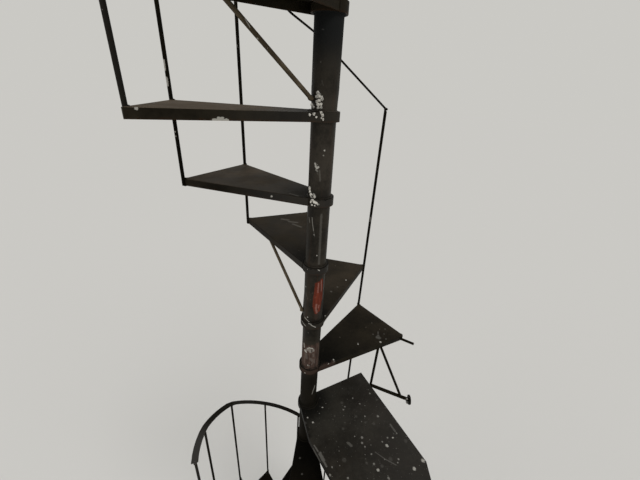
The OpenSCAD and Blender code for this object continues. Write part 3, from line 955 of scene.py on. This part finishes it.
def weld_ring(radius, thick):
    """A bead round a pipe, laid at the origin, as uneven as a hand lays it."""
    bpy.ops.mesh.primitive_torus_add(major_radius=radius, minor_radius=thick / 2,
                                     major_segments=72, minor_segments=10, location=ORIGIN)
    bead = bpy.context.object
    roughened(bead, grain=0.010, depth=0.0016)
    return bead


def joint_cone(length):
    """A weld ground to a smooth cone, from the wide pipe down to the narrow one."""
    wide, narrow, inside = UPPER_PIPE_R + 0.0003, LOWER_PIPE_R + 0.0002, LOWER_PIPE_R - 0.001
    # Radius, and height above the joint, of each ring of points from the inner upper one down
    stations = [(inside, 0.002), (UPPER_PIPE_R + 0.0001, 0.002)]
    steps = 8
    for k in range(steps + 1):
        share = k / steps
        stations.append((wide + (narrow - wide) * share * share * (3 - 2 * share), -length * share))
    stations.append((inside, -length))
    radius, rise = stations[0]
    bpy.ops.mesh.primitive_circle_add(vertices=96, radius=radius, location=(0.0, 0.0, PIPE_JOINT + rise))
    cone = bpy.context.object
    placed(cone)
    edit_all(cone)
    for next_radius, next_rise in stations[1:]:
        bpy.ops.mesh.extrude_region_move(TRANSFORM_OT_translate={"value": (0.0, 0.0, next_rise - rise)})
        bpy.ops.transform.resize(value=(next_radius / radius, next_radius / radius, 1.0),
                                 center_override=(0.0, 0.0, PIPE_JOINT + next_rise))
        radius, rise = next_radius, next_rise
    bpy.ops.mesh.select_all(action="DESELECT")
    bpy.ops.mesh.select_non_manifold()
    bpy.ops.mesh.bridge_edge_loops()
    bpy.ops.mesh.select_all(action="SELECT")
    bpy.ops.mesh.normals_make_consistent(inside=False)
    done()
    return cone


class STAIR_OT_pole(Operator):
    """Rounds and paints the two pipes and the cap, and welds the joint between the pipes"""
    bl_idname = "stair.pole"
    bl_label = "Finish the pole"

    def execute(self, context):
        paint = pole_paint()
        for node in ("lower_pole", "upper_pole", "pole_cap"):
            dressed(node, paint)
        cone = joint_cone(sizes().joint_cone)
        smoothed(cone, angle=40)
        as_piece(cone, "pipe_joint_weld", paint)
        return {"FINISHED"}


def hexagon(across, height):
    """A hexagonal nut or bolt head standing on the origin, with its corners turned off."""
    bpy.ops.mesh.primitive_cylinder_add(vertices=6, radius=across / math.sqrt(3), depth=height,
                                        location=(0.0, 0.0, height / 2))
    nut = bpy.context.object
    placed(nut)
    edit_where(nut, "FACE", lambda face: abs(face.normal.z) > 0.9)
    bpy.ops.mesh.inset(thickness=across * 0.06, depth=0.0)
    bpy.ops.transform.resize(value=(0.97, 0.97, 1.0), center_override=ORIGIN)
    done()
    outer = across * 0.55
    edit_where(nut, "VERT", lambda vertex: math.hypot(vertex.co.x, vertex.co.y) > outer)
    bpy.ops.transform.resize(value=(1.0, 1.0, 0.84), center_override=(0.0, 0.0, height / 2))
    done()
    rounded(nut, across * 0.015, angle=15)
    return nut


def washer(bolt_d):
    """A flat round washer for a bolt's diameter, on the origin. Gives the washer and its thickness."""
    outer, inner, thick = bolt_d * 2, bolt_d * 1.05, bolt_d * 0.2
    bpy.ops.mesh.primitive_cylinder_add(vertices=48, radius=outer / 2, depth=thick,
                                        location=(0.0, 0.0, thick / 2))
    ring = bpy.context.object
    placed(ring)
    edit_where(ring, "FACE", lambda face: abs(face.normal.z) > 0.9)
    bpy.ops.mesh.inset(thickness=(outer - inner) / 2, depth=0.0)
    bpy.ops.mesh.bridge_edge_loops()
    done()
    rounded(ring, thick * 0.15)
    return ring, thick


def threaded_stud(diameter, length):
    """A stud with a coarse thread cut into it, standing on the origin."""
    pitch = diameter * THREAD_PITCH
    bpy.ops.mesh.primitive_cylinder_add(vertices=24, radius=diameter * 0.44, depth=length,
                                        location=(0.0, 0.0, length / 2))
    core = bpy.context.object
    placed(core)
    rounded(core, diameter * 0.05)
    bpy.ops.mesh.primitive_circle_add(vertices=3, radius=pitch * 0.5,
                                      location=(diameter * 0.455, 0.0, pitch),
                                      rotation=(math.pi / 2, math.pi / 2, 0.0))
    ridge = bpy.context.object
    placed(ridge)
    turns = int((length - 2 * pitch) / pitch)
    modified(ridge, "SCREW", angle=2 * math.pi, screw_offset=pitch, iterations=turns, steps=24,
             render_steps=24, use_merge_vertices=True, merge_threshold=MERGE)
    edit_all(ridge)
    bpy.ops.mesh.select_non_manifold()
    bpy.ops.mesh.edge_face_add()
    bpy.ops.mesh.select_all(action="SELECT")
    bpy.ops.mesh.normals_make_consistent(inside=False)
    done()
    return joined([core, ridge])


def anchor_places():
    """Centres of the anchor holes, from the rims of the holes in the base plate's top face."""
    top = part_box("base_plate")[1]
    within = top.x - 0.01
    mesh = frame["nodes"]["base_plate"].data
    rims = [v.co for v in mesh.vertices if v.co.z > top.z - MERGE and v.co.xy.length < within]
    holes = []
    for point in rims:
        near = [hole for hole in holes if (hole[0] - point).length < sizes().stud_d * 2]
        if near:
            near[0].append(point)
        else:
            holes.append([point])
    return [Vector(((min(p.x for p in hole) + max(p.x for p in hole)) / 2,
                    (min(p.y for p in hole) + max(p.y for p in hole)) / 2, top.z)) for hole in holes]


class STAIR_OT_base(Operator):
    """Paints the base plate and bolts it down with four studs, washers and nuts"""
    bl_idname = "stair.base"
    bl_label = "Bolt down the base"

    def execute(self, context):
        s = sizes()
        paint = tread_paint("base plate paint", dust_and_sheen=0.4)
        dressed("base_plate", paint, width=0.0012, segments=3, smooth=50)
        places = anchor_places()
        if not places:
            raise RuntimeError("the base plate has no anchor holes")
        ring, thick = washer(s.stud_d)
        nut = hexagon(s.stud_d * 1.5, s.stud_d * 0.85)
        nut.location.z = thick
        placed(nut)
        pattern = joined([ring, nut, threaded_stud(s.stud_d, s.stud_stand)])
        bolts = [copied(pattern, place, (0.0, 0.0, 0.4 + 1.3 * k)) for k, place in enumerate(places)]
        removed(pattern)
        bolts = joined(bolts)
        smoothed(bolts, angle=30)
        as_piece(bolts, "anchor_bolts", zinc())
        foot = weld_ring(LOWER_PIPE_R + FOOT_BEAD_OUT, s.weld_thick * 1.6)
        foot.location.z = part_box("base_plate")[1].z + FOOT_BEAD_OUT
        welded(foot, "foot_weld", bpy.data.materials["pole paint"])
        return {"FINISHED"}


# Treads and landing

def bisected(obj, point, normal):
    """Cuts a piece's faces along a plane and keeps both sides."""
    edit_all(obj)
    bpy.ops.mesh.bisect(plane_co=point, plane_no=normal)
    done()


def long_edges(mesh, z):
    """Ends of the long straight outer edges of a top face."""
    faces = {}
    for face in mesh.polygons:
        for key in face.edge_keys:
            faces.setdefault(key, []).append(face.normal)
    found = []
    for (i, j), normals in faces.items():
        a, b = mesh.vertices[i].co, mesh.vertices[j].co
        turned_down = len(normals) == 2 and min(n.z for n in normals) < 0.01 < max(n.z for n in normals)
        if level(a, z) and level(b, z) and turned_down and (b - a).length > LONG_EDGE:
            found.append((a.copy(), b.copy()))
    return found


def on_line(point, side):
    along = (side[1] - side[0]).normalized()
    away = point - side[0]
    return (away - along * away.dot(along)).length < NEAR


def rounded_folds(piece, z, clear, width):
    """Rounds the long outer edges of a folded plate's top face, away from its corners and ring."""
    sides = long_edges(piece.data, z)
    for a, b in sides:
        along = (b - a).normalized()
        bisected(piece, a + along * clear, along)
        bisected(piece, b - along * clear, along)

    def chosen(edge):
        a, b = (piece.data.vertices[k].co for k in edge.vertices)
        middle = (a + b) / 2
        return any(level(a, z) and level(b, z) and on_line(a, side) and on_line(b, side)
                   and all((middle - end).length > clear for end in side) for side in sides)
    edit_where(piece, "EDGE", chosen)
    bpy.ops.mesh.bevel(offset=width, segments=3, affect="EDGES", clamp_overlap=True)
    done()


def folded(node, material):
    """Rounds the folds and edges of a folded plate and paints it."""
    s = sizes()
    piece = merged_copy(node)
    rounded_folds(piece, top_of(node), s.corner_clear, s.fold_round)
    rounded(piece, s.edge_round)
    smoothed(piece)
    shown(piece, node, material)


class STAIR_OT_treads(Operator):
    """Rounds the folds of the treads and paints each with its own wear and marks"""
    bl_idname = "stair.treads"
    bl_label = "Finish the treads"

    def execute(self, context):
        plain = tread_paint("tread paint")
        # The treads below the landing get paint darkened as painted shade
        dim = tread_paint("lower tread paint darkened as painted shade", dust_and_sheen=0.05, dirt_and_shade_reach=0.30, shade=0.35,
                          pale=on_top(top_of("tread_9"), (5, -22, -120), (4.5, -8, -185)))
        own = self.marked_paints()
        for node in TREADS:
            paint = dim if top_of(node) < top_of("landing") else own.get(node, plain)
            folded(node, paint)
        return {"FINISHED"}

    def marked_paints(self):
        """Paint of the treads that show marks of their own, from the landing up."""
        first, second, third, fourth, fifth = (top_of(f"tread_{k}") for k in range(10, 15))
        return {
            "tread_10": tread_paint(
                "first tread paint", dust_and_sheen=0.14, dirt_and_shade_reach=0.40,
                white=[*on_top(first, (4, 80, -6), (3.4, 101, 19), (5.5, 324, 136), (4, 217, 116)),
                       *on_ring(first, (3, 246, -19))],
                pale=on_top(first, (3, 323, 202, 321, 188), (6.5, 320, 178), (10, 314, 165, 322, 163),
                            (4.2, 296, 184), (4.6, 354, 157), (3.5, 350, 190), (4, 361, 224),
                            (7, 105, 4, 116, -12), (4, 217, 122), (4, 102, 18, 106, 4)),
                dark=on_top(first, (7.5, 72, 16, 84, 6)),
                brown=[*on_top(first - 0.010, (15, 37, -27, 98, 5)),
                       *on_ring(first, (13, 230, -10, 262, -14, 300, -10))]),
            "tread_11": tread_paint(
                "second tread paint", dust_and_sheen=0.27, dirt_and_shade_reach=0.10, greyness=0.28,
                white=[*on_top(second, (4.2, 147, 267), (3.4, 50, 10)),
                       # On the ring: partly white residue and partly painted highlights, the glints of its
                       # weld beads
                       *on_ring(second, (2, 250, 2, 264, 0), radius=0.0425),
                       *on_ring(second, (1.8, 264, 0, 275, -6, 288, -12),
                                (1.6, 208, -3, 228, -9, 237, -13))],
                pale=on_top(second, (5, 105, 208), (6, 76, 171))),
            "tread_12": tread_paint(
                "third tread paint", dust_and_sheen=0.26, greyness=0.36,
                # Painted highlights: small glints on the ring
                white=on_ring(third, (1.6, 234, -7), (1.9, 283, -2, 289, -6)),
                pale=on_top(third, (8, -166, 370, -138, 363), (7, -131, 346, -94, 340),
                            (6, -111, 321, -73, 294)),
                # Painted shadow: a dark line on the ring under its top edge
                dark=on_ring(third, (1.6, 247, -2, 276, -2))),
            "tread_13": tread_paint(
                # Its heavy dust is partly dust and partly a painted sheen on the top face
                "fourth tread paint", dust_and_sheen=0.66, greyness=0.42,
                white=on_top(fourth - 0.013, (3.8, -153, 3, -152, 3)),
                pale=on_top(fourth, (3, -94, 4, -66, -16), (6, -326, 322, -312, 318)),
                # Painted shadow: a dark line on the ring under its top edge
                dark=on_ring(fourth, (1.5, 268, -1, 298, -1))),
            "tread_14": tread_paint(
                # Its heavy dust is partly dust and partly a painted sheen on the top face
                "fifth tread paint", dust_and_sheen=1.7, greyness=0.30,
                white=[*on_top(fifth - 0.002, (4.4, -410, -211)),
                       *on_top(fifth - 0.023, (3.4, -264, -152, -233, -139)),
                       *on_top(fifth - 0.019, (3.2, -253, -147, -243, -143))],
                pale=[*on_ring(fifth, (4, 216, -4, 224, -4), radius=0.060),
                      # Painted reflection: a pale stroke down the fold's end by the corner
                      *on_rod(fifth, (2.2, -437, -222, -4, -438, -222, -24))]),
        }


class STAIR_OT_landing(Operator):
    """Rounds the folds of the landing and paints it"""
    bl_idname = "stair.landing"
    bl_label = "Finish the landing"

    def execute(self, context):
        folded("landing", landing_paint(top_of("landing")))
        return {"FINISHED"}


def bead_along(points, thick):
    """A weld bead swept along points."""
    bpy.ops.curve.primitive_nurbs_path_add(location=ORIGIN)
    path = bpy.context.object
    curve = path.data
    curve.splines.clear()
    spline = curve.splines.new("POLY")
    spline.points.add(len(points) - 1)
    for point, place in zip(spline.points, points):
        point.co = (*place, 1.0)
    curve.dimensions = "3D"
    curve.bevel_depth = thick / 2
    curve.bevel_resolution = 2
    curve.use_fill_caps = True
    only(path)
    bpy.ops.object.convert(target="MESH")
    bead = bpy.context.object
    edit_all(bead)
    bpy.ops.mesh.remove_doubles(threshold=MERGE)
    bpy.ops.mesh.normals_make_consistent(inside=False)
    done()
    return bead


def ring_radius(node):
    """Outer radius of the ring of a tread or the landing, from the rim that stands above its plate."""
    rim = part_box(node)[1].z - RING_STAND / 2
    return max(v.co.xy.length for v in frame["nodes"][node].data.vertices if v.co.z > rim)


def plate_weld_path(node):
    """Points up one fold, round the ring on the top face and down the other fold."""
    z, ring_r = top_of(node), ring_radius(node)
    clear = 0.002
    mesh = frame["nodes"][node].data
    rim = [v.co for v in mesh.vertices if level(v.co, z) and abs(v.co.xy.length - ring_r) < 3 * NEAR]
    middle = sum((point.xy.normalized() for point in rim), Vector((0.0, 0.0)))
    axis = math.atan2(middle.y, middle.x)

    def turn(point):
        return (math.atan2(point.y, point.x) - axis + math.pi) % (2 * math.pi) - math.pi
    first, last = min(map(turn, rim)), max(map(turn, rim))
    steps = 20
    angles = [axis + first + (last - first) * k / steps for k in range(steps + 1)]
    arc = [Vector((ring_r * math.cos(a), ring_r * math.sin(a), z)) for a in angles]
    below = Vector((0.0, 0.0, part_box(node)[0].z + clear - z))
    return [arc[0] + below, arc[0] + below / 2, *arc, arc[-1] + below / 2, arc[-1] + below]


class STAIR_OT_welds(Operator):
    """Lays the weld beads that hold the rings to the pole and the plates to the rings"""
    bl_idname = "stair.welds"
    bl_label = "Weld the rings"

    def execute(self, context):
        thick = sizes().weld_thick
        paints = bpy.data.materials
        narrow, wide = (weld_ring(radius + BEAD_OUT, thick) for radius in (LOWER_PIPE_R, UPPER_PIPE_R))
        rings = []
        for k, node in enumerate(RINGED):
            lowest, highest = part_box(node)
            for z, turn in ((highest.z, 0.7 * k), (lowest.z, 0.7 * k + 2.0)):
                bead = narrow if z < PIPE_JOINT else wide
                rings.append(copied(bead, (0.0, 0.0, z), (0.0, 0.0, turn)))
        removed(narrow)
        removed(wide)
        welded(joined(rings), "ring_welds", paints["pole paint"])
        plates = joined([bead_along(plate_weld_path(node), thick) for node in RINGED])
        roughened(plates, grain=0.008, depth=0.0016)
        welded(plates, "plate_welds", paints["tread paint"])
        return {"FINISHED"}


# Filler: direction in degrees, then height, distance from the axis, width and tallness in mm
FILLER_LUMPS = (
    (240, 3766, 38, 10, 10), (236, 3757, 38, 10, 9), (249, 3760, 38, 9, 12), (258, 3754, 38, 9, 14),
    (247, 3748, 38, 10, 9), (238, 3745, 38, 8, 8), (244, 3738, 38, 10, 9), (256, 3739, 38, 7, 9),
    (213, 3736, 40, 9, 9), (222, 3731, 40, 10, 7), (246, 3730, 40, 8, 6), (258, 3731, 40, 9, 8),
    (238, 3714, 71, 10, 7), (245, 3716, 62, 8, 8), (250, 3708, 57, 7, 7), (261, 3719, 48, 9, 8),
    (266, 3713, 48, 8, 10), (262, 3707, 48, 6, 6), (268, 3703, 48, 5, 9), (214, 3500, 37, 8, 14),
    (219, 3490, 38, 8, 12), (228, 3484, 39, 9, 9), (242, 3485, 38, 10, 8), (249, 3479, 40, 8, 10),
    (237, 3477, 42, 8, 6), (243, 3470, 46, 10, 7), (251, 3465, 46, 10, 9), (259, 3463, 46, 10, 8),
    (267, 3459, 46, 8, 7), (238, 3464, 46, 6, 10), (243, 3454, 46, 6, 6), (255, 3454, 46, 6, 5))


class STAIR_OT_filler(Operator):
    """Daubs the lumps of filler on the pole by two of the treads"""
    bl_idname = "stair.filler"
    bl_label = "Daub the filler"

    def execute(self, context):
        bpy.ops.mesh.primitive_ico_sphere_add(subdivisions=4, radius=0.5, location=ORIGIN)
        pattern = context.object
        lumps = []
        for k, (angle, *lengths) in enumerate(FILLER_LUMPS):
            z, radius, width, tallness = (length / 1000 for length in lengths)
            turn = math.radians(angle)
            lumps.append(copied(pattern, (radius * math.cos(turn), radius * math.sin(turn), z),
                                (0.0, 0.0, turn + 0.3 * (k % 3)),
                                (min(width, tallness) * 0.75, width, tallness)))
        removed(pattern)
        lumps = joined(lumps)
        roughened(lumps, grain=0.006, depth=0.004)
        modified(lumps, "REMESH", mode="VOXEL", voxel_size=0.0008)
        roughened(lumps, grain=0.002, depth=0.0010)
        smoothed(lumps, angle=70)
        as_piece(lumps, "filler_lumps", filler_paint())
        return {"FINISHED"}


# Balusters and handrails

def uprights(node):
    """Centre, foot and head of each upright in a node, lowest foot first."""
    found = []
    for vertex in frame["nodes"][node].data.vertices:
        point = vertex.co
        for upright in found:
            if (upright[0].xy - point.xy).length < ROD_REACH:
                upright.append(point)
                break
        else:
            found.append([point])
    rods = []
    for points in found:
        centre = sum((point.xy for point in points), Vector((0.0, 0.0))) / len(points)
        rods.append((centre, min(p.z for p in points), max(p.z for p in points)))
    return sorted(rods, key=lambda rod: rod[1])


def corner_levels(centre, foot, head):
    """Heights of the top faces whose corner holds an upright."""
    lowest, highest = foot - 0.001, head - 0.05
    return [top_of(node) for node in TREADS
            if lowest < top_of(node) < highest and near_corner(node, centre)]


def near_corner(node, centre):
    z = top_of(node)
    return any(level(v.co, z) and (v.co.xy - centre).length < CORNER_REACH
               for v in frame["nodes"][node].data.vertices)


def daub(thick):
    """One rough dab of weld metal at the origin."""
    bpy.ops.mesh.primitive_ico_sphere_add(subdivisions=3, radius=thick / 2, location=ORIGIN)
    dab = bpy.context.object
    roughened(dab, grain=thick * 0.8, depth=thick * 0.35)
    return dab


class STAIR_OT_balusters(Operator):
    """Paints the balusters and welds them to the treads' corners"""
    bl_idname = "stair.balusters"
    bl_label = "Finish the balusters"

    def execute(self, context):
        pale = on_rod(0.0, (3, -325, 356, 3896, -325, 356, 3890), (5, 246, 410, 3240, 246, 410, 3222))
        white = on_rod(0.0, (3.6, -476, 95, 3824, -476, 95, 3801), (3.2, -475, 95, 3780, -475, 95, 3759),
                       (2.6, -474, 95, 3626), (2.6, -474, 95, 3612))
        # The balusters take the lighter grey painted highlight
        paint = bar_paint("baluster paint", colours().rail, white=white, pale=pale, lightened=0.26)
        welds = []
        dab = daub(thick=0.0155)
        inward = 0.004
        for node in UPRIGHTS:
            dressed(node, paint)
            for k, (centre, foot, head) in enumerate(uprights(node)):
                spot = centre - centre.normalized() * inward
                for z in corner_levels(centre, foot, head):
                    welds.append(copied(dab, (*spot, z), (0.0, 0.0, 1.1 * k), (1.0, 1.0, 0.45)))
                    welds.append(copied(dab, (*spot, z - FOLD + 0.001), (0.0, 0.0, 1.1 * k + 2.0),
                                        (0.9, 0.9, 0.4)))
        removed(dab)
        welded(joined(welds), "baluster_welds", paint)
        return {"FINISHED"}


class STAIR_OT_handrails(Operator):
    """Paints the handrails and welds the balusters' heads to them"""
    bl_idname = "stair.handrails"
    bl_label = "Finish the handrails"

    def execute(self, context):
        # The handrails take the lighter grey painted highlight at a larger share
        paint = bar_paint("handrail paint", colours().rail, lightened=0.80)
        dressed("lower_handrail", paint, width=0.0012, segments=3, smooth=50)
        dressed("upper_handrail", paint, smooth=50)
        dab = daub(thick=0.015)
        welds = [copied(dab, (*centre, head), (0.3, 0.2, 1.7 * k), (1.0, 1.0, 0.6))
                 for node in UPRIGHTS for k, (centre, foot, head) in enumerate(uprights(node))]
        removed(dab)
        welded(joined(welds), "handrail_welds", paint)
        return {"FINISHED"}


# Braces and wall fixings

def rod_ends(node):
    """Lowest and highest point on the middle line of each straight rod in a node."""
    rods = []
    piece = merged_copy(node)
    edit_all(piece)
    bpy.ops.mesh.separate(type="LOOSE")
    done()
    for rod in bpy.context.selected_objects[:]:
        points = sorted((v.co.copy() for v in rod.data.vertices), key=lambda point: point.z)
        count = len(points) // 2
        rods.append([sum(end, Vector()) / len(end) for end in (points[:count], points[count:])])
        removed(rod)
    return rods


class STAIR_OT_braces(Operator):
    """Paints the slanting braces and welds their ends"""
    bl_idname = "stair.braces"
    bl_label = "Finish the braces"

    def execute(self, context):
        white = on_rod(0.0, (1.6, -191, -85, 3910, -186, -84, 3902, -181, -83, 3895), (2.8, -167, -74, 3874),
                       (1.8, -150, -68, 3848), (1.4, -146, -67, 3842, -140, -64, 3833))
        paint = bar_paint("brace paint", colours().rod, speckle=0.055, white=white)
        ends = rod_ends("brace_rods")
        dressed("brace_rods", paint)
        dab = daub(thick=0.017)
        welds = [copied(dab, end, (0.0, 0.4 * j, 1.3 * k), (1.0, 1.0, 0.8))
                 for k, rod in enumerate(ends) for j, end in enumerate(rod)]
        removed(dab)
        welded(joined(welds), "brace_welds", paint)
        return {"FINISHED"}


class STAIR_OT_wall_fixings(Operator):
    """Paints the wall bracket and the short stay, and bolts the bracket's plate to the wall"""
    bl_idname = "stair.wall_fixings"
    bl_label = "Finish the wall fixings"

    def execute(self, context):
        size = sizes().wall_bolt_d
        splashes = on_rod(0.0, (4, 472, 34, 2474), (2.8, 470, 29, 2484), (2.4, 464, 33, 2470))
        paint = bar_paint("bracket paint", colours().bracket, white=splashes)
        dressed("wall_bracket", paint, width=0.0004)
        dressed("wall_stay", paint)
        ring, thick = washer(size)
        head = hexagon(size * 1.6, size * 0.62)
        head.location.z = thick
        placed(head)
        bolt = joined([ring, head])
        smoothed(bolt, angle=30)
        bolt.rotation_euler = (0.0, -math.pi / 2, 0.0)
        bolt.location = self.hole()
        as_piece(bolt, "wall_bolt", zinc())
        return {"FINISHED"}

    def hole(self):
        """Centre of the anchor hole on the near face of the wall plate."""
        anchor = next(m for m in frame["record"]["mounts"] if m["name"] == "bracket_anchor")
        middle = Vector(anchor["pos_m"])
        return middle - Vector(anchor["axis"]) * anchor["dims"]["length_mm"] / 2000


# The panel and the run

PIECES = (STAIR_OT_pole, STAIR_OT_base, STAIR_OT_treads, STAIR_OT_landing, STAIR_OT_welds, STAIR_OT_filler,
          STAIR_OT_balusters, STAIR_OT_handrails, STAIR_OT_braces, STAIR_OT_wall_fixings)


class STAIR_PT_panel(Panel):
    """Lists the steps of the stair's finish and its sizes and colours"""
    bl_idname = "STAIR_PT_panel"
    bl_label = "Spiral stair"
    bl_space_type = "VIEW_3D"
    bl_region_type = "UI"
    bl_category = "Stair"

    def draw(self, context):
        column = self.layout.column(align=True)
        for step in (STAIR_OT_stage, *PIECES):
            column.operator(step.bl_idname)
        for title, group in (("Sizes", sizes()), ("Colours", colours())):
            box = self.layout.box()
            box.label(text=title)
            for name in group.__annotations__:
                box.prop(group, name)


CLASSES = (StairSizes, StairColours, STAIR_OT_stage, *PIECES, STAIR_PT_panel)


def register():
    for item in CLASSES:
        bpy.utils.register_class(item)
    bpy.types.Scene.stair_sizes = PointerProperty(type=StairSizes)
    bpy.types.Scene.stair_colours = PointerProperty(type=StairColours)


def unregister():
    del bpy.types.Scene.stair_colours
    del bpy.types.Scene.stair_sizes
    for item in reversed(CLASSES):
        bpy.utils.unregister_class(item)


def main():
    register()
    bpy.ops.stair.stage()
    bpy.ops.stair.pole()
    bpy.ops.stair.base()
    bpy.ops.stair.treads()
    bpy.ops.stair.landing()
    bpy.ops.stair.welds()
    bpy.ops.stair.filler()
    bpy.ops.stair.balusters()
    bpy.ops.stair.handrails()
    bpy.ops.stair.braces()
    bpy.ops.stair.wall_fixings()
    boxes = {"cad": CAD_BOX, "visual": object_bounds()}
    {name: [list(corner) for corner in box] for name, box in boxes.items()}


if __name__ == "__main__":
    main()
